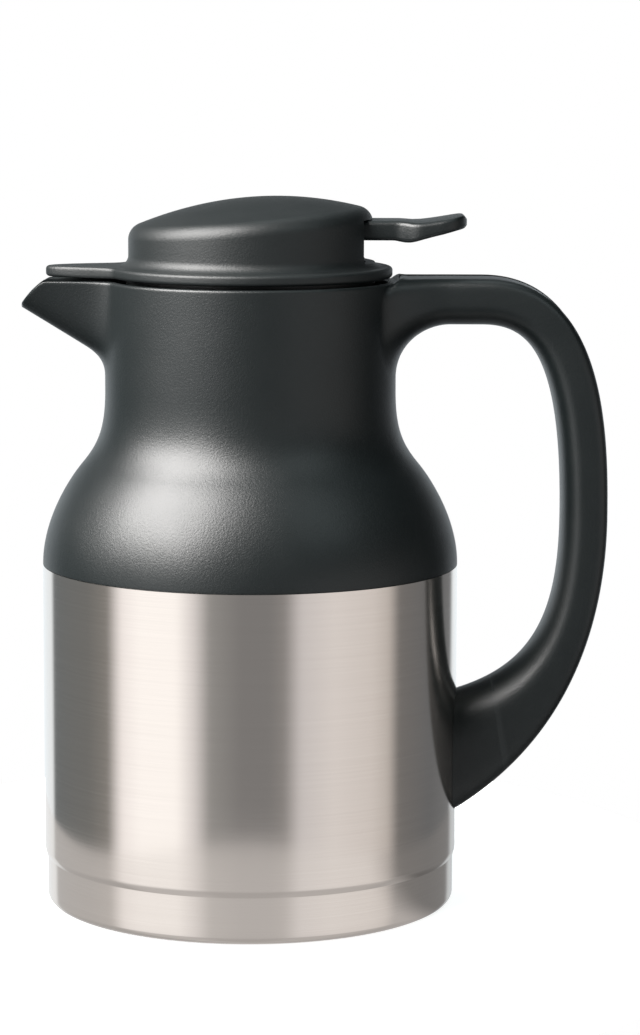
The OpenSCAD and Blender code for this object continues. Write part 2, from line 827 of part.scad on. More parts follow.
// Height of the dome's crown over a place on it
function crown(x, y) = crown_z - (pow(x - crown_x, 2) + y * y) / (2 * crown_r);

lid_angles = concat(
    [for (i = [-9 : 9]) 180 + tongue_half_angle * i / 9],
    [for (i = [1 : 39]) 180 + tongue_half_angle + (360 - 2 * tongue_half_angle) * i / 40]
);

function polar(r, a, z) = [r * cos(a), r * sin(a), z];

function flange_edge(a) =
    flange_r + (tongue_reach - flange_r) * bump(a - 180, tongue_half_angle, 2);

// Rounded edge and crown of the dome, drawn in by d from the outside
function dome_rings(d, edge_steps) = concat(
    [
        for (i = [0 : edge_steps])
            [
                for (a = lid_angles)
                    let (
                        e = 8 - d / 2,
                        r = dome_r - d - e,
                        b = 78 * i / edge_steps,
                        z = crown(r * cos(a), r * sin(a)) - d - e * sin(78)
                    )
                    polar(r + e * cos(b), a, z + e * sin(b))
            ]
    ],
    [
        for (s = [0.82, 0.62, 0.4, 0.2])
            [
                for (a = lid_angles)
                    let (r = (dome_r - d) * s)
                    polar(r, a, crown(r * cos(a), r * sin(a)) - d)
            ]
    ]
);

module lid_cover() {
    edge = [[flange_round, 0], [0.35 * flange_round, 0.35 * flange_round], [0, flange_round],
            [0, flange_t - flange_round], [0.35 * flange_round, flange_t - 0.35 * flange_round],
            [flange_round, flange_t]];
    flange_rings = [
        for (e = edge) [for (a = lid_angles) polar(flange_edge(a) - e[0], a, lid_z0 + e[1])]
    ];
    sweep_rings = [
        for (i = [0 : 5])
            let (b = 18 * i, r = dome_r + sweep_r * (1 - sin(b)), z = lid_z1 + sweep_r * (1 - cos(b)))
            [for (a = lid_angles) polar(r, a, z)]
    ];
    color(charcoal) difference() {
        // One skin: down the inside from the crown, round the flange and up the outside
        domed_skin(
            concat(
                reversed(dome_rings(lid_wall, 3)),
                [[for (a = lid_angles) polar(dome_in_r, a, lid_z0)]],
                flange_rings, sweep_rings, dome_rings(0, 5)
            ),
            [0, 0, crown(0, 0) - lid_wall], [0, 0, crown(0, 0)]
        );
        translate([dome_in_r - 8, -notch_w, notch_foot_z])
            cube([20, 2 * notch_w, notch_top_z - notch_foot_z]);
    }
}

module pivot_pin() {
    color("silver") translate([pivot_x, 0, pivot_z]) rotate([90, 0, 0])
        cylinder(r = pin_r, h = 2 * (ear_gap + ear_t), center = true);
}

// Side view of the lever's outer half, from the pivot to the thumb plate
function lever_side() =
    let (
        z1 = lever_top_z,
        z0 = z1 - lever_t,
        x1 = lever_reach,
        x0 = 49.5
    )
    concat(
        [[pivot_x, z0], [x0 - 1, z0], [x0 + 1.5, z0 - 0.6], [x0 + 3.5, z0 - 0.6], [x0 + 7, z0 + 0.3]],
        [[x1 - 0.9, z1 - 2.3], [x1, z1 - 1.5], [x1 - 0.1, z1 + 0.5], [x1 - 0.9, z1 + 1.8]],
        curve_points([x1 - 2.2, z1 + 1.7], [x1 - 8, z1 + 0.6], [x0 + 9, z1 - 0.5], [x0 + 4.5, z1 - 0.5], 6),
        [[x0 + 1, z1], [pivot_x, z1]]
    );

// Top view of the same half
function lever_plan() =
    let (
        w = lever_w / 2,
        h = thumb_w / 2,
        x1 = lever_reach,
        half = concat(
            [[pivot_x, w], [47, w]],
            curve_points([47.5, w], [50.5, w], [51, h], [55, h], 6),
            curve_points([x1 - 9, h], [x1 - 3, h], [x1, 0.62 * h], [x1, 0.001], 8)
        )
    )
    concat(half, [for (p = reversed(half)) if (p[1] > 0.01) [p[0], -p[1]]]);

module thumb_lever() {
    arm = [
        [pivot_x, pivot_z + boss_pin_r], [pivot_x - 10, pivot_z + 1.4], [fork_w + 2, fork_z + 1.3],
        [-fork_w + 3, fork_z + 1.3], [-fork_w + 2, fork_z], [-fork_w + 3, fork_z - 2],
        [fork_w + 2, fork_z - 2], [pivot_x - 8, pivot_z - 4.6], [pivot_x, pivot_z - boss_pin_r]
    ];
    inner_half = ear_gap - move_gap;
    color(charcoal) difference() {
        union() {
            intersection() {
                translate([0, thumb_w, 0]) rotate([90, 0, 0]) linear_extrude(2 * thumb_w)
                    polygon(lever_side());
                difference() {
                    translate([0, 0, pivot_z - 20]) linear_extrude(40) polygon(lever_plan());
                    // The lever is narrower between the ears
                    for (s = [-1, 1])
                        translate([pivot_x - 1, s * (inner_half + 10) - 10, pivot_z - 25])
                            cube([ear_half + 2.6, 20, 50]);
                }
            }
            translate([pivot_x, 0, pivot_z]) rotate([90, 0, 0])
                cylinder(r = boss_pin_r, h = 2 * inner_half, center = true);
            translate([0, fork_w, 0]) rotate([90, 0, 0]) linear_extrude(2 * fork_w) polygon(arm);
            translate([0, 0, fork_z]) rotate([90, 0, 0])
                cylinder(r = fork_bump_r, h = 2 * fork_w, center = true);
        }
        translate([-20, -fork_slot, fork_z - 10]) cube([20 + stem_r + 1.6, 2 * fork_slot, 20]);
        translate([pivot_x, 0, pivot_z]) rotate([90, 0, 0])
            cylinder(r = pin_r + run_fit, h = 60, center = true);
    }
}

module valve_stem() {
    color("silver") translate([0, 0, stem_z]) cylinder(r = stem_r, h = nut_z + nut_t + 0.7 - stem_z);
}

module stem_nut() {
    color("silver") translate([0, 0, nut_z]) difference() {
        cylinder(r = nut_r, h = nut_t);
        translate([0, 0, -1]) cylinder(r = stem_r + press_fit, h = nut_t + 2);
    }
}

module valve_disc() {
    spigot_r = seat_r - 0.7;
    color(charcoal) difference() {
        union() {
            translate([0, 0, disc_z]) cylinder(r = disc_r, h = disc_t);
            translate([0, 0, disc_z + disc_t - 0.5]) cylinder(r = hub_r, h = hub_h);
            translate([0, 0, valve_z - 0.1]) cylinder(r = spigot_r, h = valve_seal_t + 0.6);
        }
        translate([0, 0, stem_z]) cylinder(r = stem_r + press_fit, h = 20);
    }
}

module valve_seal() {
    color(silicone) translate([0, 0, valve_z]) difference() {
        cylinder(r = seat_r + seat_w + 0.6, h = valve_seal_t);
        translate([0, 0, -1]) cylinder(r = seat_r - 0.7 + press_fit, h = valve_seal_t + 2);
    }
}

spring_foot_z = disc_z + disc_t + wire_r + 0.05;
spring_head_z = deck_z - wire_r - 0.05;
wire_sides = 6;
rings_per_turn = 12;

module valve_spring() {
    n = floor(spring_turns * rings_per_turn);
    rise = spring_head_z - spring_foot_z;
    tilt = atan2(rise / spring_turns, 2 * PI * spring_r);
    color("silver") skin([
        for (i = [0 : n])
            let (a = 360 * spring_turns * i / n, z = spring_foot_z + rise * i / n)
            [
                for (j = [0 : wire_sides - 1])
                    let (g = -360 * (j + 0.5) / wire_sides, r = spring_r + wire_r * cos(g), h = wire_r * sin(g))
                    [
                        r * cos(a) - h * sin(tilt) * -sin(a),
                        r * sin(a) - h * sin(tilt) * cos(a),
                        z + h * cos(tilt)
                    ]
            ]
    ]);
}

outer_shell();
base_cup();
inner_liner();
getter();
vacuum_seal();
base_pad();
shoulder_and_handle();
handle_strip();
handle_bracket();
handle_screw();
mouth_gasket();
neck_ring();
stopper_seal();
stopper_body();
stopper_deck();
deck_screws();
stem_seal();
lid_cover();
pivot_pin();
thumb_lever();
valve_stem();
stem_nut();
valve_disc();
valve_seal();
valve_spring();
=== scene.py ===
import math

import bmesh
import bpy
import numpy as np
from mathutils import Matrix


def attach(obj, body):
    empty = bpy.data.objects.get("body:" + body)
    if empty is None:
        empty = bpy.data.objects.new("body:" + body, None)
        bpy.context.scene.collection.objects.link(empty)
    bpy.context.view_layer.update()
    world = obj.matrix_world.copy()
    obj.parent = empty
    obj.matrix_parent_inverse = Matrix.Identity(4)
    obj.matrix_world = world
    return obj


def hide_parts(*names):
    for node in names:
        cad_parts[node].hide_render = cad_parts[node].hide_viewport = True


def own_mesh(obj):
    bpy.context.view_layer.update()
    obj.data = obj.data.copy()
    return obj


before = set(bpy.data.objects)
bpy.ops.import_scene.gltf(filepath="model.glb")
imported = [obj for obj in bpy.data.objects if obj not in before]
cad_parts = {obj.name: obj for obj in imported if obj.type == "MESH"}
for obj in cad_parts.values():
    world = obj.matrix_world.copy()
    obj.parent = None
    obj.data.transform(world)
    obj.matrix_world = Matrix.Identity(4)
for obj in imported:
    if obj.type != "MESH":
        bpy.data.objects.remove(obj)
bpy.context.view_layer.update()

mm = 0.001
print("frame loaded:", len(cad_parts), "nodes")


# tools for surfaces; lengths are millimetres until a mesh is made

def bezier(a, b, c, d, t):
    # cubic from a to d that leaves towards b and arrives from c, one row for each value of t
    a, b, c, d = (np.asarray(p, float) for p in (a, b, c, d))
    t = np.asarray(t, float)[:, None]
    return (1 - t) ** 3 * a + 3 * (1 - t) ** 2 * t * b + 3 * (1 - t) * t * t * c + t ** 3 * d


def evenly(count):
    return np.linspace(0, 1, count)


def smoothStep(x):
    # from 0 to 1 with level ends: three times the square less twice the cube
    x = np.clip(x, 0, 1)
    return x * x * (3 - 2 * x)


def placeObject(name, data):
    thing = bpy.data.objects.new(name, data)
    bpy.context.collection.objects.link(thing)
    return thing


def makeMesh(name, points, faces):
    # millimetres become metres here
    mesh = bpy.data.meshes.new(name)
    mesh.from_pydata((points * mm).tolist(), [], faces)
    mesh.update()
    return mesh


def gridFaces(rows, columns, wrapRows):
    # quads between neighbouring rows and columns; the columns always close round
    r = np.arange(rows if wrapRows else rows - 1)[:, None]
    c = np.arange(columns)[None, :]
    nextRow, nextColumn = (r + 1) % rows, (c + 1) % columns
    corners = [r * columns + c, r * columns + nextColumn,
               nextRow * columns + nextColumn, nextRow * columns + c]
    return np.stack(np.broadcast_arrays(*corners), -1).reshape(-1, 4)


def closedSurface(name, grid, wrapRows=False, firstPole=None, lastPole=None):
    # a grid of points made a closed mesh: either its rows wrap round, or each end row is closed by a
    # fan about a pole; the volume's sign turns the faces outwards
    rows, columns = grid.shape[:2]
    points = grid.reshape(-1, 3)
    faces = gridFaces(rows, columns, wrapRows)
    volume = 0.0
    for corner in ((0, 1, 2), (0, 2, 3)):
        p, q, s = (points[faces[:, k]] for k in corner)
        volume += np.einsum("ij,ij->i", p, np.cross(q, s)).sum()
    faces = faces.tolist()
    if not wrapRows:
        j = np.arange(columns)
        k = (j + 1) % columns
        first, last = len(points), len(points) + 1
        lastRow = (rows - 1) * columns
        firstPole = grid[0].mean(0) if firstPole is None else firstPole
        lastPole = grid[-1].mean(0) if lastPole is None else lastPole
        points = np.vstack([points, [firstPole, lastPole]])
        faces += np.stack([k, j, np.full(columns, first)], -1).tolist()
        faces += np.stack([lastRow + j, lastRow + k, np.full(columns, last)], -1).tolist()
    if volume < 0:
        faces = [face[::-1] for face in faces]
    return placeObject(name, makeMesh(name, points, faces))


def finishPiece(piece, body, material, replaced, sharpDegrees):
    mesh = piece.data
    mesh.materials.clear()
    mesh.materials.append(material)
    mesh.shade_smooth()
    mesh.set_sharp_from_angle(angle=math.radians(sharpDegrees))
    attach(piece, body)
    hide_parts(*replaced)
    print(piece.name, len(mesh.polygons), "faces, rides on", body)
    return piece


def aroundAxis(profile, angle):
    # each point's radius and height and its column's angle, made x, y and z
    radius, height = profile[..., 0], profile[..., 1]
    return np.stack([radius * np.cos(angle), radius * np.sin(angle), height], -1)


def turned(profile, columns):
    # a profile of (radius, height) points turned about the axis
    angle = np.arange(columns) * 2 * np.pi / columns
    return aroundAxis(profile[:, None, :] + 0 * angle[None, :, None], angle)


def columnsRound(halfDegrees, fineColumns, coarseColumns):
    # the columns' angles, close together within a half angle of the spout, and their degrees from it
    near = np.linspace(180 - halfDegrees, 180 + halfDegrees, fineColumns)
    far = np.linspace(180 + halfDegrees, 540 - halfDegrees, coarseColumns)[1:-1]
    angle = np.concatenate([np.radians(near), np.radians(far)])
    return angle, np.degrees(angle % (2 * np.pi) - np.pi)


def swell(angle, halfAngle, fullness, softness):
    # how far a spout or tongue stands out: one less the angle's share to the power of fullness, all to
    # the power of softness, so 0 at its sides and 1 in the middle
    return (1 - np.clip(np.abs(angle) / halfAngle, 0, 1) ** fullness) ** softness


def arc(centreX, centreZ, radius, fromDegrees, toDegrees, steps):
    # points on a circle: its centre plus the radius times cosine and sine
    a = np.radians(np.linspace(fromDegrees, toDegrees, steps))
    return np.stack([centreX + radius * np.cos(a), centreZ + radius * np.sin(a)], -1)


def mergedCopy(nodeName):
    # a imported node's mesh, its corners closer than 0.002 mm joined
    shape = bmesh.new()
    shape.from_mesh(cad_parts[nodeName].data)
    bmesh.ops.remove_doubles(shape, verts=shape.verts, dist=0.002 * mm)
    return shape


# tools for shader nodes

def setInputs(tree, node, inputs):
    # each input gets a fixed value or another node's output
    for label, value in inputs.items():
        if isinstance(value, bpy.types.NodeSocket):
            tree.links.new(value, node.inputs[label])
        else:
            node.inputs[label].default_value = value
    return node


def addNode(tree, kind, inputs=None, **settings):
    node = tree.nodes.new("ShaderNode" + kind)
    for label, value in settings.items():
        setattr(node, label, value)
    return setInputs(tree, node, inputs or {})


def mathNode(tree, operation, first, second):
    return addNode(tree, "Math", {0: first, 1: second}, operation=operation).outputs[0]


def weighted(tree, first, second, share):
    # the first value times a share, plus the second times the rest
    return mathNode(tree, "ADD", mathNode(tree, "MULTIPLY", first, share),
                    mathNode(tree, "MULTIPLY", second, 1 - share))


def rangeNode(tree, value, fromLow, fromHigh, toLow, toHigh, way="LINEAR"):
    inputs = {"Value": value, "From Min": fromLow, "From Max": fromHigh, "To Min": toLow, "To Max": toHigh}
    return addNode(tree, "MapRange", inputs, interpolation_type=way).outputs["Result"]


def spreadNoise(tree, noise, low, high):
    # noise keeps mostly between 0.3 and 0.7, which is spread from low to high
    return rangeNode(tree, noise, 0.3, 0.7, low, high)


def noiseNode(tree, place, scale, detail, roughness=0.5):
    return addNode(tree, "TexNoise", {"Vector": place, "Scale": scale, "Detail": detail,
                                      "Roughness": roughness}).outputs["Fac"]


def blendColours(tree, mask, low, high):
    # a colour is three numbers or another node's output
    low, high = (part if isinstance(part, bpy.types.NodeSocket) else (*part, 1) for part in (low, high))
    return addNode(tree, "Mix", {"Factor": mask, "A": low, "B": high}, data_type="RGBA").outputs["Result"]


def mixShaders(tree, share, first, second):
    return addNode(tree, "MixShader", {0: share, 1: first, 2: second}).outputs[0]


def turnFromCamera(tree, direction):
    # the angle round the axis, in radians, counted from the camera's side with the right positive
    parts = addNode(tree, "SeparateXYZ", {0: direction}).outputs
    return mathNode(tree, "ARCTAN2", parts["X"], mathNode(tree, "MULTIPLY", parts["Y"], -1.0)), parts["Z"]


def startGroup(name, inputs, outputs):
    group = bpy.data.node_groups.new(name, "ShaderNodeTree")
    for label, value in inputs.items():
        socket = group.interface.new_socket(name=label, in_out="INPUT", socket_type="NodeSocketFloat")
        socket.default_value = value
    for label in outputs:
        group.interface.new_socket(name=label, in_out="OUTPUT", socket_type="NodeSocketFloat")
    return group, group.nodes.new("NodeGroupInput").outputs, group.nodes.new("NodeGroupOutput")


# shared effects: spark-eroded grain, brushed lines, traces of handling

grainValues = dict(detail=2.5, roughness=0.6, cellShare=0.62, dents=0.5, mottleDetail=3.0, mottleShare=0.5)


def makeSparkGrain(values):
    # the height is fine noise plus dents from rounded cells; the sheen is half noise, half slow mottling
    group, source, result = startGroup("sparkGrain", dict(Grain=2600.0, Mottle=60.0), ["Height", "Sheen"])
    place = addNode(group, "TexCoord").outputs["Object"]
    pebbles = noiseNode(group, place, source["Grain"], values["detail"], values["roughness"])
    cellScale = mathNode(group, "MULTIPLY", source["Grain"], values["cellShare"])
    cells = addNode(group, "TexVoronoi", {"Vector": place, "Scale": cellScale}, feature="SMOOTH_F1")
    dents = mathNode(group, "MULTIPLY", cells.outputs["Distance"], values["dents"])
    mottle = noiseNode(group, place, source["Mottle"], values["mottleDetail"])
    setInputs(group, result, {"Height": mathNode(group, "ADD", pebbles, dents),
                              "Sheen": weighted(group, mottle, pebbles, values["mottleShare"])})
    return group


brushValues = dict(detail=3.0, roughness=0.65, broadScale=0.12, broadDetail=4.0, hairShare=0.8)


def makeBrushLines(values):
    # hair lines round the axis: noise that changes fast with height and slowly round
    group, source, result = startGroup("brushLines", dict(Lines=4200.0, Length=22.0), ["Height", "Tone"])
    place = addNode(group, "TexCoord").outputs["Object"]
    length, lines = source["Length"], source["Lines"]
    spread = addNode(group, "CombineXYZ", {"X": length, "Y": length, "Z": lines}).outputs[0]
    stretched = addNode(group, "VectorMath", {0: place, 1: spread}, operation="MULTIPLY").outputs[0]
    hair = noiseNode(group, stretched, 1.0, values["detail"], values["roughness"])
    broad = noiseNode(group, stretched, values["broadScale"], values["broadDetail"])
    setInputs(group, result, {"Height": hair, "Tone": weighted(group, hair, broad, values["hairShare"])})
    return group


handlingValues = dict(detail=5.0, edgeFrom=0.53, edgeFull=0.62)


def makeHandling(values):
    # where hands and cloths have been: a slow smudge, and worn places where it meets raised edges
    group, source, result = startGroup("handling", dict(Smudges=35.0, Edges=0.5), ["Smudge", "Wear"])
    place = addNode(group, "TexCoord").outputs["Object"]
    cloud = noiseNode(group, place, source["Smudges"], values["detail"])
    pointiness = addNode(group, "NewGeometry").outputs["Pointiness"]
    raised = rangeNode(group, pointiness, values["edgeFrom"], values["edgeFull"], 0.0, 1.0)
    worn = mathNode(group, "MULTIPLY", raised, source["Edges"])
    setInputs(group, result, {"Smudge": cloud, "Wear": mathNode(group, "MULTIPLY", worn, cloud)})
    return group


sparkGrain, brushLines = makeSparkGrain(grainValues), makeBrushLines(brushValues)
handling = makeHandling(handlingValues)


# materials

def startMaterial(name):
    material = bpy.data.materials.new(name)
    material.use_nodes = True
    return material, material.node_tree, material.node_tree.nodes["Principled BSDF"]


def placeGroup(tree, group, **inputs):
    return addNode(tree, "Group", inputs, node_tree=group).outputs


def bumped(tree, height, values):
    return addNode(tree, "Bump", {"Strength": values["bump"], "Distance": values["depth"] * mm,
                                  "Height": height}).outputs["Normal"]


def grainedPlastic(name, values):
    material, tree, shader = startMaterial(name)
    grain = placeGroup(tree, sparkGrain, Grain=values["grain"], Mottle=values["mottle"])
    hands = placeGroup(tree, handling, Smudges=values["smudges"], Edges=values["edges"])
    plain = blendColours(tree, grain["Sheen"], values["dark"], values["light"])
    sheen = weighted(tree, grain["Sheen"], hands["Smudge"], values["grainShare"])
    setInputs(tree, shader, {
        "Base Color": blendColours(tree, hands["Wear"], plain, values["worn"]),
        "Roughness": spreadNoise(tree, sheen, values["smooth"], values["rough"]),
        "IOR": 1.5,
        "Normal": bumped(tree, grain["Height"], values)})
    return material


def brushedSteel(name, values):
    material, tree, shader = startMaterial(name)
    lines = placeGroup(tree, brushLines, Lines=values["lines"], Length=values["length"])
    hands = placeGroup(tree, handling, Smudges=values["smudges"])
    shine = weighted(tree, lines["Tone"], hands["Smudge"], values["lineShare"])
    setInputs(tree, shader, {
        "Base Color": blendColours(tree, lines["Tone"], values["dark"], values["light"]),
        "Roughness": spreadNoise(tree, shine, values["smooth"], values["rough"]),
        "Metallic": 1.0,
        "Anisotropic": values["anisotropy"],
        "Anisotropic Rotation": values["quarterTurn"],
        "Tangent": addNode(tree, "Tangent", direction_type="RADIAL", axis="Z").outputs["Tangent"],
        "Normal": bumped(tree, lines["Height"], values)})
    return material


def softRubber(name, values):
    material, tree, shader = startMaterial(name)
    grain = placeGroup(tree, sparkGrain, Grain=values["grain"], Mottle=values["mottle"])
    hands = placeGroup(tree, handling, Smudges=values["smudges"])
    setInputs(tree, shader, {
        "Base Color": blendColours(tree, hands["Smudge"], values["dark"], values["light"]),
        "Roughness": spreadNoise(tree, grain["Sheen"], values["smooth"], values["rough"]),
        "Sheen Weight": values["sheen"],
        "Normal": bumped(tree, grain["Height"], values)})
    return material


# scales are per metre, depths in millimetres; smooth and rough are the ends of the roughness
plasticValues = dict(
    grain=2100.0, mottle=55.0, smudges=30.0, edges=0.35, grainShare=0.6,
    dark=(0.0034, 0.0052, 0.0055), light=(0.0052, 0.0075, 0.0079),
    worn=(0.035, 0.038, 0.04), smooth=0.34, rough=0.45, bump=0.6, depth=0.1)
steelValues = dict(
    lines=3000.0, length=14.0, smudges=14.0, lineShare=0.7,
    dark=(0.73, 0.662, 0.612), light=(0.84, 0.772, 0.72),
    smooth=0.1, rough=0.16, anisotropy=0.1, quarterTurn=0.25, bump=0.12, depth=0.02)
innerSteelValues = dict(
    steelValues, lines=1500.0, length=30.0, smudges=20.0,
    dark=(0.5, 0.5, 0.5), light=(0.62, 0.62, 0.61),
    smooth=0.25, rough=0.38, anisotropy=0.2, bump=0.1)
pinSteelValues = dict(
    steelValues, lines=5200.0, length=200.0, smudges=60.0,
    dark=(0.55, 0.55, 0.56), light=(0.68, 0.68, 0.69),
    smooth=0.12, rough=0.26, anisotropy=0.0, bump=0.08, depth=0.01)
dullMetalValues = dict(
    steelValues, lines=900.0, length=900.0, smudges=80.0,
    dark=(0.2, 0.2, 0.21), light=(0.34, 0.34, 0.35),
    smooth=0.4, rough=0.6, anisotropy=0.0, bump=0.2, depth=0.03)
rubberValues = dict(
    grain=1500.0, mottle=90.0, smudges=120.0, dark=(0.018, 0.018, 0.018),
    light=(0.03, 0.03, 0.03), smooth=0.65, rough=0.85, sheen=0.15, bump=0.25, depth=0.05)
siliconeValues = dict(
    rubberValues, grain=900.0, dark=(0.6, 0.6, 0.57), light=(0.72, 0.72, 0.69),
    smooth=0.45, rough=0.6)

mouldedPlastic = grainedPlastic("mouldedPlastic", plasticValues)
lidPlastic = grainedPlastic("lidPlastic", dict(plasticValues, mottle=70.0, smooth=0.42, rough=0.54))
leverPlastic = grainedPlastic("leverPlastic", dict(plasticValues, grain=2300.0, edges=0.6))
stripPlastic = grainedPlastic("stripPlastic", dict(plasticValues, dark=(0.004, 0.005, 0.0055),
                                                   light=(0.006, 0.007, 0.0075), bump=0.15,
                                                   smooth=0.3, rough=0.4))
innerPlastic = grainedPlastic("innerPlastic", dict(plasticValues, bump=0.3, grain=1800.0))
bodySteel = brushedSteel("bodySteel", steelValues)
linerSteel = brushedSteel("linerSteel", innerSteelValues)
pinSteel = brushedSteel("pinSteel", pinSteelValues)
dullMetal = brushedSteel("dullMetal", dullMetalValues)
padRubber = softRubber("padRubber", rubberValues)
paleSilicone = softRubber("paleSilicone", siliconeValues)
print("materials made")


# the shoulder's outline, which the steel body and the moulding share

shoulderSizes = dict(
    bodyRadius=70.0, seam=115.2, neckRadius=48.8, neck=174.0, wall=2.6,
    turnShare=0.377, turnRise=0.568, turnLean=39.5,  # the turning point and its lean
    reach=0.23, turnReach=0.145)  # how far the curve keeps its direction, of the rise


def shoulderCurve(values, steps):
    # the outline from seam to neck: two cubics that meet at the turning point, and their directions
    low = np.array([values["bodyRadius"], values["seam"]])
    high = np.array([values["neckRadius"], values["neck"]])
    rise = high[1] - low[1]
    turn = np.array([high[0] + values["turnShare"] * (low[0] - high[0]), low[1] + values["turnRise"] * rise])
    lean = math.radians(values["turnLean"])
    along = np.array([-math.sin(lean), math.cos(lean)])
    up = np.array([0, 1])
    t = evenly(steps)
    endPull, turnPull = values["reach"] * rise * up, values["turnReach"] * rise * along
    curve = np.vstack([bezier(low, low + endPull, turn - turnPull, turn, t),
                       bezier(turn, turn + turnPull, high - endPull, high, t)[1:]])
    direction = np.gradient(curve, axis=0)
    direction /= np.linalg.norm(direction, axis=1)[:, None]
    direction[0] = direction[-1] = up
    return curve, direction


def drawnIn(curve, direction, depths):
    # a curve moved towards the axis, square to its own direction
    return curve + depths[:, None] * np.stack([-direction[:, 1], direction[:, 0]], -1)


# steel body

bodySizes = dict(
    radius=70.0, seam=115.2, foot=15.5, sheet=0.6, neckRadius=42.6, mouth=176.0,
    footCurve=[(-0.73, 0), (-0.6, 0.4), (0, 1.5), (0, 2.9)],  # from radius and foot
    wallFrom=3.0, wallRows=60, footRows=12, curveRows=30, columns=288,
    tuck=2.9, neckAt=0.93)  # depth under the moulding at the seam; share of the way to the neck


def makeSteelBody(values):
    # a turned sheet: soft foot, straight wall, then the shoulder's outline drawn in by a depth that
    # grows with the square of the way up, to the mouth and back down inside
    r, s, seam, neck = values["radius"], values["sheet"], values["seam"], values["neckRadius"]
    curve, direction = shoulderCurve(shoulderSizes, values["curveRows"])
    share = np.minimum(evenly(len(curve)) / values["neckAt"], 1) ** 2
    depths = values["tuck"] + (shoulderSizes["neckRadius"] - neck - values["tuck"]) * share
    top = values["mouth"] - s
    foot = bezier(*(np.array([r, values["foot"]]) + values["footCurve"]),
                  evenly(values["footRows"]))
    heights = np.linspace(values["foot"] + values["wallFrom"], seam, values["wallRows"])
    profile = np.vstack([foot, np.stack([np.full(len(heights), r), heights], -1),
                         drawnIn(curve, direction, depths), [[neck, top], [neck - s, top]],
                         drawnIn(curve, direction, depths + s)[::-1],
                         [[r - s, seam - s], [r - s, values["foot"]]]])
    return closedSurface("steelBody", turned(profile, values["columns"]), wrapRows=True)


finishPiece(makeSteelBody(bodySizes), "carafe", bodySteel, ["outer_shell"], 30)


# base band: the steel cup under the body, with the pad's seat

bandSizes = dict(
    radius=69.2, sheet=0.6, round=2.5, padRadius=60.2, padTop=2.42, holeRadius=2.0,
    wallHeights=(6.0, 13.1, 15.5, 19.5),  # rows of the straight wall
    roundRows=9, columns=288)


def makeBaseBand(values):
    # a turned sheet: level seat, step down to the foot, quarter circle, straight wall and back inside
    r, t, turn = values["radius"], values["sheet"], values["round"]
    pad, seat, hole = values["padRadius"], values["padTop"], values["holeRadius"]
    walls = values["wallHeights"]
    profile = np.vstack([
        [[hole, seat], [pad, seat], [pad, 0]],
        arc(r - turn, turn, turn, -90, 0, values["roundRows"]),
        [[r, height] for height in walls],
        [[r - t, walls[-1]]],
        arc(r - turn, turn, turn - t, 0, -90, values["roundRows"]),
        [[pad + t, t], [pad + t, seat + t], [hole, seat + t]]])
    return closedSurface("baseBand", turned(profile, values["columns"]), wrapRows=True)


finishPiece(makeBaseBand(bandSizes), "carafe", bodySteel, ["base_cup"], 30)


# moulded shoulder, neck and spout

spoutSizes = dict(
    reach=76.9, tip=202.1, rim=210.6, slope=31.3, halfAngle=24.4, swellPowers=(2, 4),
    filletReach=6.4, filletPower=2.7, keelDrop=0.65,
    troughHalfAngle=12.9, troughPowers=(3, 2), troughFloor=192.0, troughWall=2.3,
    troughStart=3.0, tipWall=1.2,
    mouth=[(76.9, 202.3), (74.3, 205.9), (71.7, 209.4), (68.6, 210.63)],  # from the side
    mouthSteps=60, mouthHalfAngle=40, searchFrom=199.0, searchSteps=1500,
    lip=1.0, footRound=0.35, fineHalfAngle=26, fineColumns=139, coarseColumns=142,
    outerRows=90, troughRows=60, boreRows=12, lipRows=8, footRows=5, curveRows=40,
    floorStep=0.05)  # half the height between the rows where the trough begins


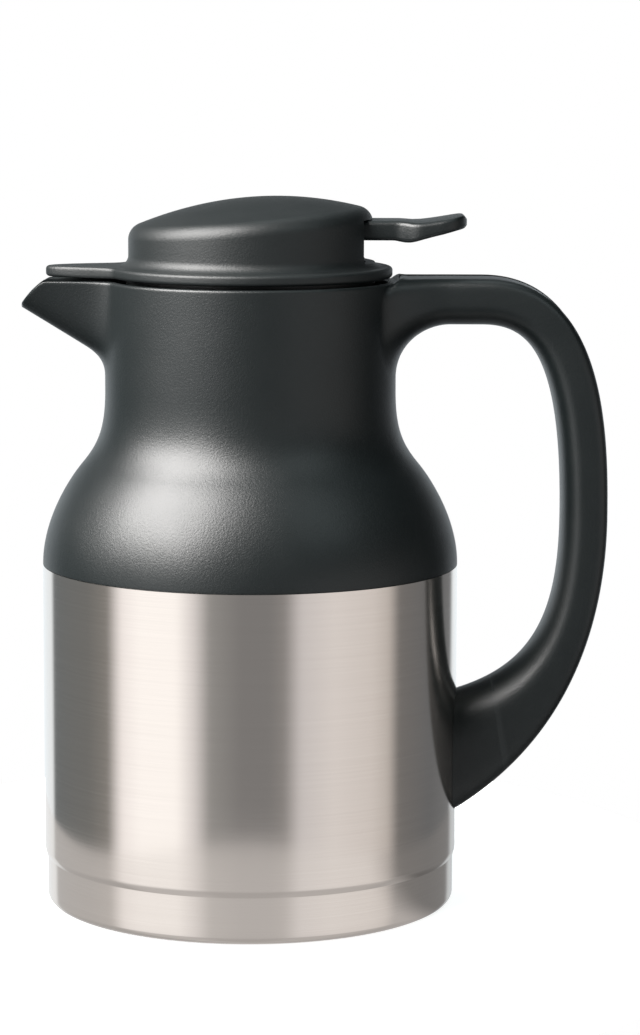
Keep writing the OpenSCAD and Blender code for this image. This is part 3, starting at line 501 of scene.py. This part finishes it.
def makeNeck(values):
    # height and angle give the outer and inner radius; the two skins join at the lip and at the seam
    neckRadius, wall = shoulderSizes["neckRadius"], shoulderSizes["wall"]
    bore, lip = neckRadius - wall, values["lip"]
    slope = math.tan(math.radians(values["slope"]))
    keelEnd = values["tip"] - values["keelDrop"]
    filletTop = keelEnd - (values["reach"] - neckRadius - values["filletReach"]) * slope
    filletBottom = filletTop - values["filletPower"] * values["filletReach"] * slope
    angle, fromSpout = columnsRound(values["fineHalfAngle"], values["fineColumns"], values["coarseColumns"])
    outerSwell = swell(fromSpout, values["halfAngle"], *values["swellPowers"])
    troughSwell = swell(fromSpout, values["troughHalfAngle"], *values["troughPowers"])

    def keel(z):
        # the spout's underside: a power curve out of the neck, then a straight slope
        share = np.clip((z - filletBottom) / (filletTop - filletBottom), 0, 1)
        fillet = values["filletReach"] * share ** values["filletPower"]
        return neckRadius + fillet + np.maximum(z - filletTop, 0) / slope

    def outerRadius(z):
        # the flanks keep the keel's slope up to the rim, so that they look downwards
        return np.minimum(neckRadius + (keel(z) - neckRadius) * outerSwell, values["reach"])

    def innerRadius(z):
        # the trough lies a wall's thickness above the keel; below its floor the bore is round
        floorRise = values["troughWall"] / math.cos(math.radians(values["slope"]))
        depth = values["reach"] - (keelEnd + floorRise - z) / slope
        depth = np.clip(depth, bore + values["troughStart"], values["reach"] - values["tipWall"])
        return np.where(z > values["troughFloor"], bore + (depth - bore) * troughSwell, bore)

    mouth = bezier(*values["mouth"], evenly(values["mouthSteps"]))[::-1]
    forward = np.abs(np.cos(angle)) * (np.abs(fromSpout) < values["mouthHalfAngle"])
    levels = np.linspace(values["searchFrom"], values["rim"], values["searchSteps"])[:, None]

    def topOf(radius):
        # where a column of the skin meets the mouth's outline
        allowed = np.interp(radius(levels) * forward, mouth[:, 0], mouth[:, 1])
        top = levels[0, 0] + (allowed > levels).sum(0) * (levels[1, 0] - levels[0, 0])
        return np.minimum(top, values["rim"])

    def skinRows(radius, low, high, rows):
        # even heights from low to high, with the radius at each
        z = low + (high - low) * evenly(rows)[:, None]
        return np.stack([radius(z) + 0 * z, z + 0 * angle], -1)

    def rounded(start, corner, end):
        # quadratic from start to end that leaves towards the corner
        t = evenly(values["lipRows"])[:, None, None]
        return (1 - t) ** 2 * start + 2 * (1 - t) * t * corner + t * t * end

    outerTop, innerTop = topOf(outerRadius), topOf(innerRadius)
    floor, step = values["troughFloor"], values["floorStep"]
    outerSkin = skinRows(outerRadius, shoulderSizes["neck"], outerTop - lip, values["outerRows"])
    innerSkin = np.vstack([skinRows(innerRadius, innerTop - lip, floor + step, values["troughRows"]),
                           skinRows(innerRadius, floor - step, shoulderSizes["neck"], values["boreRows"])])
    outerCorner = np.stack([outerRadius(outerTop), outerTop], -1)
    innerCorner = np.stack([innerRadius(innerTop), innerTop], -1)
    across = innerCorner - outerCorner
    across /= np.linalg.norm(across, axis=-1)[:, None]
    outerLip = rounded(outerSkin[-1], outerCorner, outerCorner + lip * across)[1:]
    innerLip = rounded(innerCorner - lip * across, innerCorner, innerSkin[0])[:-1]
    curve, direction = shoulderCurve(shoulderSizes, values["curveRows"])
    inside = drawnIn(curve, direction, np.full(len(curve), wall))
    turn = values["footRound"]
    foot = arc(curve[0, 0] - turn, curve[0, 1] + turn, turn, -90, 0, values["footRows"])
    outside = np.vstack([foot, curve[curve[:, 1] > curve[0, 1] + 2 * turn]])[:-1]
    spread = np.ones(len(angle))[None, :, None]
    profile = np.vstack([outside[:, None, :] * spread, outerSkin, outerLip, innerLip, innerSkin,
                         inside[::-1][1:, None, :] * spread])
    return closedSurface("mouldedNeck", aroundAxis(profile, angle), wrapRows=True)


finishPiece(makeNeck(spoutSizes), "carafe", mouldedPlastic, ["shoulder_and_handle"], 45)


# handle and its cover strip

handleSizes = dict(
    neckRadius=48.8, bodyRadius=70.03, halfWidth=14.5, outerPower=5.5, innerPower=2.5,
    # each line from the side: level as far as bend, out to mid, in to foot; pulls are control lengths
    outer=dict(height=212.2, bend=78.0, topPull=118.6, mid=(120.1, 132.5), midRise=28.3, midFall=35.9,
               foot=(70.0, 32.0), footLean=32.6, footPull=45.8),
    inner=dict(height=196.1, bend=77.3, topPull=91.3, mid=(104.6, 132.5), midRise=57.2, midFall=35.0,
               foot=(70.0, 71.5), footLean=17.1, footPull=28.0),
    rootX=67.0, rootLow=178.0, rootPull=189.7, rootReach=8.6,  # the fillet under the root
    rim=210.5, riseFrom=48.85, riseLength=2.4, flare=8.4, flareHold=0.35,
    buriedShares=(0.982, 0.992), buriedPole=(47.92, 0, 194.0), footRise=24.8,
    rootRows=72, levelRows=9, sweepRows=70, fallRows=76,
    closeRows=(0.84, 0.9, 16),  # closer by the strip's end
    stripHalf=10.75, stripEnd=4.5, stripFrom=49.7, stripFootGap=20.5, recess=0.75, leastWidth=0.03,
    floorShares=(0, 0.25, 0.5, 0.75, 0.99), edgeDrop=0.12, edgeWidth=0.1, roundFrom=0.25,
    fixedFrom=0.4, movingColumns=7, fixedColumns=44)

stripSizes = dict(
    sunk=0.3, gap=0.2, leastSide=0.05, edge=0.35, edgeShare=0.4,
    # half the section: share of the side, less so many edges; height, less so many edges
    corners=[(0, 0, -0.42, 0), (1, 0, -0.42, 0), (1, 0, -0.1, 0.35), (1, 0.35, -0.05, 0),
        (1, 1, 0, 0), (0.5, 0, 0.08, 0), (0, 0, 0.1, 0)])


def lineBehindRoot(values, line, sweep, fall):
    # level as far as the bend, a cubic out to the middle, and a second one in to the foot
    height, mid, foot = line["height"], np.array(line["mid"]), np.array(line["foot"])
    lean = math.radians(line["footLean"])
    s = evenly(values["levelRows"])[1:]
    level = np.stack([values["rootX"] + (line["bend"] - values["rootX"]) * s, np.full(len(s), height)], -1)
    over = bezier((line["bend"], height), (line["topPull"], height), mid + [0, line["midRise"]], mid, sweep)
    footPoint = foot + line["footPull"] * np.array([math.cos(lean), math.sin(lean)])
    return np.vstack([level, over, bezier(mid, mid - [0, line["midFall"]], footPoint, foot, fall)])


def handleLines(values):
    # the back's and the front's line at every station from neck to foot, and how far along the root it
    # is; in the root the front is a fillet, and the back rises from the rim by a smooth step
    neck, root, under = values["neckRadius"], values["rootX"], values["inner"]["height"]
    share = evenly(values["rootRows"])
    fillet = bezier((neck, values["rootLow"]), (neck, values["rootPull"]),
                    (root - values["rootReach"], under), (root, under), share)
    rise = smoothStep((fillet[:, 0] - values["riseFrom"]) / values["riseLength"])
    back = np.stack([fillet[:, 0], values["rim"] + (values["outer"]["height"] - values["rim"]) * rise], -1)
    sweep = evenly(values["sweepRows"])[1:]
    fall = np.unique(np.concatenate([evenly(values["fallRows"])[1:],
                                     np.linspace(*values["closeRows"])]))
    outer = np.vstack([back, lineBehindRoot(values, values["outer"], sweep, fall)])
    inner = np.vstack([fillet, lineBehindRoot(values, values["inner"], sweep, fall)])
    return outer, inner, np.concatenate([share, np.ones(len(outer) - len(share))])[:, None]


def stripWidth(values, outer):
    # half width of the recess at each station: full, with a quarter ellipse at both ends
    along = np.concatenate([[0], np.cumsum(np.linalg.norm(np.diff(outer, axis=0), axis=1))])
    level = values["rootRows"] + values["levelRows"] - 1
    first = np.interp(values["stripFrom"], outer[:level, 0], along[:level])
    inside = np.minimum(along - first, along[-1] - values["stripFootGap"] - along)
    share = np.clip(inside / values["stripEnd"], 0, 1)
    return values["stripHalf"] * np.sqrt(1 - (1 - share) ** 2), inside > 0


def backHeight(values, size, width):
    # the back of the section at a half width, a superellipse: one less the width's share to a power,
    # all to one over that power, times the half thickness
    power = values["outerPower"]
    return size * (1 - (width / values["halfWidth"]) ** power) ** (1 / power)


def placeSections(values, outer, inner, rooted, out, across):
    # half sections and their mirror images, set on the line midway between back and front; at the root
    # they lie on the neck's cylinder, and they straighten towards the grip
    out = np.hstack([out, out[:, -2:0:-1]])
    across = np.hstack([across, -across[:, -2:0:-1]])
    middle, axis = (outer + inner) / 2, outer - inner
    axis = axis / np.linalg.norm(axis, axis=1)[:, None]
    neck = values["neckRadius"]
    wrap = (neck - np.sqrt(neck ** 2 - across ** 2)) * (1 - smoothStep(rooted))
    return np.stack([middle[:, :1] + axis[:, :1] * out - wrap, across, middle[:, 1:] + axis[:, 1:] * out], -1)


def makeHandle(values):
    # half sections from back to front: the recess's floor and edge, then a superellipse whose power is
    # higher behind than in front; the root flares by a cubic
    outer, inner, rooted = handleLines(values)
    width, inside = stripWidth(values, outer)
    width = np.maximum(width, values["leastWidth"])[:, None]
    size = (np.linalg.norm(outer - inner, axis=1) / 2)[:, None]
    half, power = values["halfWidth"], values["outerPower"]
    lip = backHeight(values, size, width)
    depth = np.where(inside, values["recess"], 0.0)[:, None] * np.minimum(width / 2, 1)  # less where narrow
    floorShares = np.array(values["floorShares"])[None, :]
    fixedWidth = np.full_like(width, values["stripHalf"] + values["fixedFrom"])
    first, fixed = (np.arcsin(((w + values["roundFrom"]) / half) ** (power / 2)) for w in (width, fixedWidth))
    g = np.hstack([first + (fixed - first) * evenly(values["movingColumns"])[None, :-1],
                   fixed + (np.pi - fixed) * evenly(values["fixedColumns"])[None, :]])
    powers = np.where(np.cos(g) >= 0, 2 / power, 2 / values["innerPower"])
    flare = values["flare"] * ((1 - rooted) ** 3 + 3 * (1 - rooted) ** 2 * rooted * values["flareHold"])
    out = np.hstack([lip - depth + 0 * floorShares, lip - values["edgeDrop"], lip,
                     np.sign(np.cos(g)) * size * np.abs(np.cos(g)) ** powers])
    across = np.hstack([width * floorShares, width, width + values["edgeWidth"],
                        (half + flare) * np.clip(np.sin(g), 0, 1) ** powers])
    across[:, -1] = 0
    rows = placeSections(values, outer, inner, rooted, out, across)
    x, y, z = rows[-1].T
    onBody = np.sqrt(values["bodyRadius"] ** 2 - y ** 2)  # the foot ends on the body's cylinder
    foot = np.stack([onBody, y, z - (x - onBody) * math.tan(math.radians(values["footRise"]))], -1)
    buried = [rows[:1] * [share, share, 1] for share in values["buriedShares"]]
    return closedSurface("handleArm", np.concatenate([*buried, rows[:-1], foot[None]]),
                         firstPole=np.array(values["buriedPole"]),
                         lastPole=np.array([values["bodyRadius"], 0, foot[:, 2].mean()]))


def makeStrip(values, handle):
    # a thin bar with softened edges that fills the recess, its section's corners given in the values
    outer, inner, rooted = handleLines(handle)
    width, inside = stripWidth(handle, outer)
    outer, inner, rooted, width = outer[inside], inner[inside], rooted[inside], width[inside][:, None]
    size = (np.linalg.norm(outer - inner, axis=1) / 2)[:, None]
    face = backHeight(handle, size, width) - values["sunk"]
    side = np.maximum(width - values["gap"], values["leastSide"])
    edge = np.minimum(side * values["edgeShare"], values["edge"])
    across = np.hstack([share * side - edges * edge for share, edges, _, _ in values["corners"]])
    out = np.hstack([face + height - edges * edge for _, _, height, edges in values["corners"]])
    return closedSurface("handleStripCover", placeSections(handle, outer, inner, rooted, out, across))


finishPiece(makeHandle(handleSizes), "carafe", mouldedPlastic,
            ["shoulder_and_handle"], 50)
finishPiece(makeStrip(stripSizes, handleSizes), "carafe", stripPlastic, ["handle_strip"], 40)


# lid

lidSizes = dict(
    foot=211.7, thickness=3.6, flangeRadius=47.5, tongueReach=68.5, tongueHalfAngle=21.5, tonguePowers=(2, 3),
    edgeRound=1.2, domeRadius=40.9, crown=238.59, crownRadius=115.0, crownBehind=9.0,
    domeRound=5.6, touchAhead=2.4, sweep=3.6, wall=2.4, footWidth=2.0, wallFoot=2.0,
    notchFrom=30.5, notchTo=50.5, notchHalf=15.8, notchFoot=216.9, notchTop=231.4,
    fineHalfAngle=23, fineColumns=170, coarseColumns=300,
    outerRows=(26, 16), innerRows=(14, 10), edgeRows=9, sweepRows=14,
    flatShares=(0.1, 0.4, 0.7, 0.93), wallShares=(0.75, 0.5, 0.25))


def makeLid(values):
    # radius and height round the axis: inside of the dome, flange with its tongue, sweep, dome
    angle, fromTongue = columnsRound(values["fineHalfAngle"], values["fineColumns"], values["coarseColumns"])
    tongue = swell(fromTongue, values["tongueHalfAngle"], *values["tonguePowers"])
    edge = values["flangeRadius"] + (values["tongueReach"] - values["flangeRadius"]) * tongue
    low, high = values["foot"], values["foot"] + values["thickness"]

    def crown(r, depth):
        # a paraboloid: its top less the square of the way from it over twice its radius
        x, y = r * np.cos(angle), r * np.sin(angle)
        away = (x - values["crownBehind"]) ** 2 + y * y
        return values["crown"] - depth - away / (2 * values["crownRadius"])

    def domeRows(depth, bendRows, crownRows):
        # the dome at a depth under its skin: a circular bend that ends level with the crown, then the crown
        bendRadius = values["domeRound"] - depth / 2
        centre = values["domeRadius"] - depth - bendRadius
        ahead = centre + values["touchAhead"] - values["crownBehind"] * np.cos(angle)
        lean = np.arctan(ahead / values["crownRadius"])
        touch = centre + bendRadius * np.sin(lean)
        centreZ = crown(touch, depth) - bendRadius * np.cos(lean)
        b = (np.pi / 2 - lean)[None, :] * evenly(bendRows)[:, None]
        bend = np.stack([centre + bendRadius * np.cos(b), centreZ + bendRadius * np.sin(b)], -1)
        r = touch[None, :] * (1 - evenly(crownRows + 1)[1:-1])[:, None]
        return np.concatenate([bend, np.stack([r, crown(r, depth)], -1)])

    def ring(r, z):
        return np.stack([r + 0 * angle, z + 0 * angle], -1)[None]

    c, outR, sweep = values["edgeRound"], values["domeRadius"], values["sweep"]
    quarterTurn = np.radians(np.linspace(0, 90, values["edgeRows"]))
    lowEdge = [ring(edge - c + c * math.sin(a), low + c - c * math.cos(a)) for a in quarterTurn]
    highEdge = [ring(edge - c + c * math.cos(a), high - c + c * math.sin(a)) for a in quarterTurn]
    flat = [ring(edge - c + (outR + sweep - edge + c) * s, high) for s in values["flatShares"]]
    sweepRings = [ring(outR + sweep * (1 - math.sin(b)), high + sweep * (1 - math.cos(b)))
                  for b in np.radians(np.linspace(0, 90, values["sweepRows"]))]
    outerDome, innerDome = domeRows(0.0, *values["outerRows"]), domeRows(values["wall"], *values["innerRows"])
    wallRings = [outerDome[:1] * (1 - s) + sweepRings[-1] * s for s in values["wallShares"]]
    inR = outR - values["wall"]
    profile = np.concatenate([innerDome[::-1], ring(inR, high + values["wallFoot"]), ring(inR, low),
                              ring(inR + values["footWidth"], low), *lowEdge, *highEdge, *flat,
                              *sweepRings, *wallRings, outerDome])
    poles = [np.array([0, 0, crown(0.0, depth)[0]]) for depth in (values["wall"], 0.0)]
    return closedSurface("lidDome", aroundAxis(profile, angle), firstPole=poles[0], lastPole=poles[1])


def cutNotch(piece, values):
    # the opening for the lever at the back of the dome, cut with a box
    corners = np.array([[x, y, z] for x in (values["notchFrom"], values["notchTo"])
                        for y in (-values["notchHalf"], values["notchHalf"])
                        for z in (values["notchFoot"], values["notchTop"])])
    sides = [(0, 1, 3, 2), (4, 6, 7, 5), (0, 4, 5, 1), (2, 3, 7, 6), (0, 2, 6, 4), (1, 5, 7, 3)]
    tool = placeObject("notchTool", makeMesh("notchTool", corners, sides))
    cut = piece.modifiers.new("notch", "BOOLEAN")
    cut.operation, cut.solver, cut.object = "DIFFERENCE", "EXACT", tool
    bpy.context.view_layer.update()
    result = bpy.data.meshes.new_from_object(piece.evaluated_get(bpy.context.evaluated_depsgraph_get()))
    piece.modifiers.clear()
    piece.data = result
    bpy.data.objects.remove(tool)
    return piece


finishPiece(cutNotch(makeLid(lidSizes), lidSizes), "lid", lidPlastic, ["lid_cover"], 40)


# thumb lever

leverSizes = dict(
    start=35.5, joinAt=37.5, halfWidth=11.25, thumbHalf=14.5, tip=72.2,
    widenFrom=47.5, widenPulls=(52, 52.5), widenTo=58, noseLength=9, nosePull=3,
    nosePullShare=0.62, noseEnd=0.5, edge=1.5, edgeHeightShare=0.6, edgeWidthShare=0.8,
    armRows=20, widenRows=24, plateRows=9, noseRows=34, cornerColumns=8,
    lineSteps=400, softenSteps=27,
    topX=[35, 49.5, 52, 54, 57, 60, 63.4, 66, 68.7, 70.2, 71.2, 71.9, 72.2],
    topZ=[230.9, 230.9, 230.7, 230.45, 230.5, 230.85, 231.35, 231.8, 232.35, 232.65,
        232.6, 231.9, 230.8],
    lowX=[35, 48, 50, 51.5, 53, 55, 57, 60.8, 63.5, 66.1, 68.8, 70.3, 71.4, 72.0, 72.2],
    lowZ=[224.5, 224.5, 224.1, 223.9, 223.9, 224.3, 224.9, 225.95, 226.6, 227.3, 228.0,
        228.3, 228.6, 229.1, 229.8])


def makeLeverPlate(values):
    # rounded rectangles along the lever: half widths from the plan, heights from the side view's two
    # lines, which a moving mean softens
    start, tip, half, thumb = values["start"], values["tip"], values["halfWidth"], values["thumbHalf"]
    wide, wider, nose = values["widenFrom"], values["widenTo"], tip - values["noseLength"]
    steps = [evenly(values[rows])[1:] for rows in ("widenRows", "noseRows")]
    plate = np.linspace(wider, nose, values["plateRows"])[1:]
    arm = np.linspace(start, wide, values["armRows"])
    plan = np.vstack([
        np.stack([arm, np.full(len(arm), half)], -1),
        bezier((wide, half), (values["widenPulls"][0], half), (values["widenPulls"][1], thumb),
               (wider, thumb), steps[0]),
        np.stack([plate, np.full(len(plate), thumb)], -1),
        bezier((nose, thumb), (tip - values["nosePull"], thumb), (tip, values["nosePullShare"] * thumb),
               (tip, values["noseEnd"]), steps[1])])
    x, half = plan[:, 0], plan[:, 1]
    dense = np.linspace(start, tip, values["lineSteps"])
    kernel = np.hanning(values["softenSteps"]) / np.hanning(values["softenSteps"]).sum()

    def soften(xs, zs):
        line = np.pad(np.interp(dense, xs, zs), values["softenSteps"] // 2, mode="edge")
        return np.interp(x, dense, np.convolve(line, kernel, "valid"))

    high, low = soften(values["topX"], values["topZ"]), soften(values["lowX"], values["lowZ"])
    middle, size = (high + low) / 2, (high - low) / 2
    edge = np.minimum(np.minimum(values["edge"], values["edgeHeightShare"] * size),
                      values["edgeWidthShare"] * half)[:, None]
    columns = values["cornerColumns"]
    turns = [np.linspace(turn, turn + 90, columns) for turn in (0, 90, 180, 270)]
    a = np.radians(np.concatenate(turns))[None, :]
    sideSign = np.repeat([1, -1, -1, 1], columns)[None, :]
    upSign = np.repeat([1, 1, -1, -1], columns)[None, :]
    y = sideSign * (half[:, None] - edge) + edge * np.cos(a)
    z = middle[:, None] + upSign * (size[:, None] - edge) + edge * np.sin(a)
    return closedSurface("thumbLever", np.stack([x[:, None] + 0 * y, y, z], -1))


def joinInnerArm(piece, values):
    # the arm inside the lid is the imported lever's own: a merged copy of it, cut where the plate takes over
    copy = mergedCopy("thumb_lever")
    cut = bmesh.ops.bisect_plane(copy, geom=copy.verts[:] + copy.edges[:] + copy.faces[:], dist=0.001 * mm,
                                 plane_co=(values["joinAt"] * mm, 0, 0), plane_no=(1, 0, 0), clear_outer=True)
    rim = [part for part in cut["geom_cut"] if isinstance(part, bmesh.types.BMEdge)]
    bmesh.ops.contextual_create(copy, geom=rim)
    bmesh.ops.triangulate(copy, faces=copy.faces[:])
    bmesh.ops.recalc_face_normals(copy, faces=copy.faces[:])
    copy.from_mesh(piece.data)
    copy.to_mesh(piece.data)
    copy.free()
    return piece


finishPiece(joinInnerArm(makeLeverPlate(leverSizes), leverSizes), "lever", leverPlastic,
            ["thumb_lever"], 40)


# valve spring, which shortens as the lever lifts the valve; here a merged copy of the imported one, with a
# mesh of its own


def makeSpring():
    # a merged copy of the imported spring
    shape = mergedCopy("valve_spring")
    mesh = bpy.data.meshes.new("returnSpring")
    shape.to_mesh(mesh)
    shape.free()
    return placeObject("returnSpring", mesh)


returnSpring = finishPiece(makeSpring(), "valve", pinSteel, ["valve_spring"], 40)
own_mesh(returnSpring)


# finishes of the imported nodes, also of those that a new piece stands for

nodeFinishes = {
    bodySteel: "outer_shell base_cup",
    linerSteel: "inner_liner handle_bracket",
    dullMetal: "getter vacuum_seal",
    pinSteel: "handle_screw deck_screws pivot_pin valve_stem stem_nut valve_spring",
    padRubber: "base_pad",
    paleSilicone: "mouth_gasket stopper_seal stem_seal valve_seal",
    innerPlastic: "neck_ring stopper_body stopper_deck valve_disc",
    mouldedPlastic: "shoulder_and_handle",
    stripPlastic: "handle_strip",
    lidPlastic: "lid_cover",
    leverPlastic: "thumb_lever"}
for material, names in nodeFinishes.items():
    for name in names.split():
        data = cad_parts[name].data
        data.materials.clear()
        data.materials.append(material)
print("packed nodes finished")


# surroundings: what the glossy surfaces reflect

roomValues = dict(
    diffuse=0.4, diffuseColour=(0.86, 0.99, 1.0),
    fallHeight=0.3, highShare=0.1,  # the bands darken upwards, by the direction's height
    lowFrom=-0.52, lowTo=-0.3, lowShare=0.25,  # and downwards, from lowTo to lowFrom
    # colours round the axis, in degrees from the camera, left is negative
    bands=[(-180, (0.95, 1.03, 1.08)), (-143, (0.95, 1.03, 1.08)), (-139, (0.17, 0.19, 0.2)),
        (-100, (0.19, 0.2, 0.2)), (-84, (0.26, 0.26, 0.25)), (-74, (1.1, 1.1, 1.12)),
        (-62, (1.25, 1.27, 1.28)), (-40, (1.25, 1.27, 1.28)), (-30, (0.85, 0.85, 0.87)),
        (-21, (0.33, 0.34, 0.34)), (-4, (0.24, 0.245, 0.25)), (12, (0.24, 0.245, 0.25)),
        (20, (0.3, 0.3, 0.3)), (29, (0.72, 0.72, 0.74)), (48, (0.84, 0.83, 0.83)),
        (72, (0.76, 0.74, 0.73)), (83, (0.62, 0.6, 0.58)), (91, (0.2, 0.2, 0.2)),
        (120, (0.16, 0.17, 0.18)), (148, (0.2, 0.21, 0.22)), (155, (0.95, 1.03, 1.08)),
        (180, (0.95, 1.03, 1.08))])


def bandColours(tree, values):
    # the direction's angle round the axis, looked up in a ramp and dimmed by its height
    turn, height = turnFromCamera(tree, addNode(tree, "TexCoord").outputs["Generated"])
    share = mathNode(tree, "ADD", mathNode(tree, "DIVIDE", turn, 2 * math.pi), 0.5)
    ramp = addNode(tree, "ValToRGB", {"Fac": share})
    stops, bands = ramp.color_ramp.elements, values["bands"]
    while len(stops) < len(bands):
        stops.new(0.5)
    for stop, (degrees, colour) in zip(stops, bands):
        stop.position = degrees / 360 + 0.5
        stop.color = (*colour, 1)
    fall = rangeNode(tree, height, 0.0, values["fallHeight"], 1.0, values["highShare"], "SMOOTHSTEP")
    low = rangeNode(tree, height, values["lowFrom"], values["lowTo"], values["lowShare"], 1.0, "SMOOTHSTEP")
    inputs = {0: ramp.outputs["Color"], "Scale": mathNode(tree, "MULTIPLY", fall, low)}
    return addNode(tree, "VectorMath", inputs, operation="SCALE").outputs[0]


def makeSurroundings(values):
    # white behind the object, the bands in reflections and a weak even light for the rest
    world = bpy.data.worlds.new("studio")
    world.use_nodes = True
    bpy.context.scene.world = world
    tree = world.node_tree
    tree.nodes.clear()
    path = addNode(tree, "LightPath").outputs
    seen, lit, bands = (addNode(tree, "Background", inputs).outputs[0] for inputs in (
        {"Color": (1, 1, 1, 1)},
        {"Color": (*values["diffuseColour"], 1), "Strength": values["diffuse"]},
        {"Color": bandColours(tree, values)}))
    straight = mathNode(tree, "MAXIMUM", path["Is Camera Ray"], path["Is Transmission Ray"])
    whole = mixShaders(tree, straight, mixShaders(tree, path["Is Glossy Ray"], lit, bands), seen)
    addNode(tree, "OutputWorld", {"Surface": whole})


# floor

# the floor's reflection carries a painted shadow of the object: its glow falls from glossGlow to shadeGlow
# between shadeFrom and shadeTo
floorValues = dict(
    halfWidth=165.0, halfDepth=215.0, under=0.4, corners=128, colour=(0.8, 0.8, 0.8),
    glow=0.75, glossShare=0.5, glossGlow=0.9, shadeGlow=0.28,
    shadeFrom=52, shadeTo=74)  # where its reflection darkens, in degrees from the camera


def makeFloor(values):
    # an oval pale sheet that the object stands on: it glows for the camera, and half of it in reflections,
    # where a painted shadow of the object dims that glow between two angles
    angle = np.arange(values["corners"]) * 2 * np.pi / values["corners"]
    ring = np.stack([np.cos(angle) * values["halfWidth"], np.sin(angle) * values["halfDepth"],
                     0 * angle - values["under"]], -1)
    mesh = makeMesh("paleFloor", ring, [list(range(values["corners"]))])
    floor = placeObject("paleFloor", mesh)
    material = bpy.data.materials.new("paleFloor")
    material.use_nodes = True
    tree = material.node_tree
    tree.nodes.clear()
    path = addNode(tree, "LightPath").outputs
    turn, _ = turnFromCamera(tree, addNode(tree, "TexCoord").outputs["Object"])
    degrees = mathNode(tree, "MULTIPLY", turn, 180 / math.pi)
    # painted shadow: the glow seen in reflections is dimmed between these angles, in place of the object's
    # shadow on the floor
    shade = rangeNode(tree, degrees, values["shadeFrom"], values["shadeTo"],
                      values["glossGlow"], values["shadeGlow"], "SMOOTHSTEP")
    plain = addNode(tree, "BsdfDiffuse", {"Color": (*values["colour"], 1)}).outputs[0]
    glow = addNode(tree, "Emission", {"Strength": values["glow"]}).outputs[0]
    glossGlow = addNode(tree, "Emission", {"Strength": shade}).outputs[0]
    clear = addNode(tree, "BsdfTransparent").outputs[0]
    glowing = addNode(tree, "AddShader", {0: plain, 1: glow}).outputs[0]
    seen = mixShaders(tree, path["Is Camera Ray"], plain, glowing)
    reflected = mixShaders(tree, values["glossShare"], clear, glossGlow)
    addNode(tree, "OutputMaterial", {"Surface": mixShaders(tree, path["Is Glossy Ray"], seen, reflected)})
    mesh.materials.append(material)


# lamps and camera; lengths here are metres

lampValues = {  # angles from the camera's side, in degrees; power in watts
    "softKey": dict(azimuth=-61, elevation=43, distance=0.9, width=0.86, height=0.76, power=44.0,
                    colour=(1.0, 0.978, 0.96)),
    "sideFill": dict(azimuth=50, elevation=42, distance=1.3, width=0.7, height=0.7, power=1.7,
                     colour=(0.85, 0.98, 1.0)),
    "topSoft": dict(azimuth=150, elevation=72, distance=1.2, width=0.6, height=0.6, power=1.2,
                    colour=(0.9, 0.98, 1.0)),
}
aimHeight = 0.14


def makeLamp(name, values):
    lamp = bpy.data.lights.new(name, "AREA")
    lamp.shape = "RECTANGLE"
    lamp.size, lamp.size_y = values["width"], values["height"]
    lamp.energy = values["power"]
    lamp.color = values["colour"]
    spin = Matrix.Rotation(math.radians(values["azimuth"]), 4, "Z")
    tilt = Matrix.Rotation(math.radians(90 - values["elevation"]), 4, "X")
    placeObject(name, lamp).matrix_world = (Matrix.Translation((0, 0, aimHeight)) @ spin @ tilt
                                            @ Matrix.Translation((0, 0, values["distance"])))


# fitted to the photo: down and roll in radians, focal length in the photo's pixels
cameraValues = dict(
    place=(0.0235195, -1.1519131, 0.2953089), down=0.1423, roll=0.0036,
    focal=3441.4082, imageHeight=1035, sensor=36)


def makeCamera(values):
    data = bpy.data.cameras.new("photoCamera")
    camera = placeObject("photoCamera", data)
    data.sensor_width = values["sensor"]
    data.lens = values["sensor"] * values["focal"] / values["imageHeight"]
    camera.matrix_world = (Matrix.Translation(values["place"])
                           @ Matrix.Rotation(math.pi / 2 - values["down"], 4, "X")
                           @ Matrix.Rotation(values["roll"], 4, "Z"))
    bpy.context.scene.camera = camera


makeSurroundings(roomValues)
makeFloor(floorValues)
for name, values in lampValues.items():
    makeLamp(name, values)
makeCamera(cameraValues)
bpy.context.scene.view_settings.view_transform = "Standard"
print("floor, lamps and camera placed")
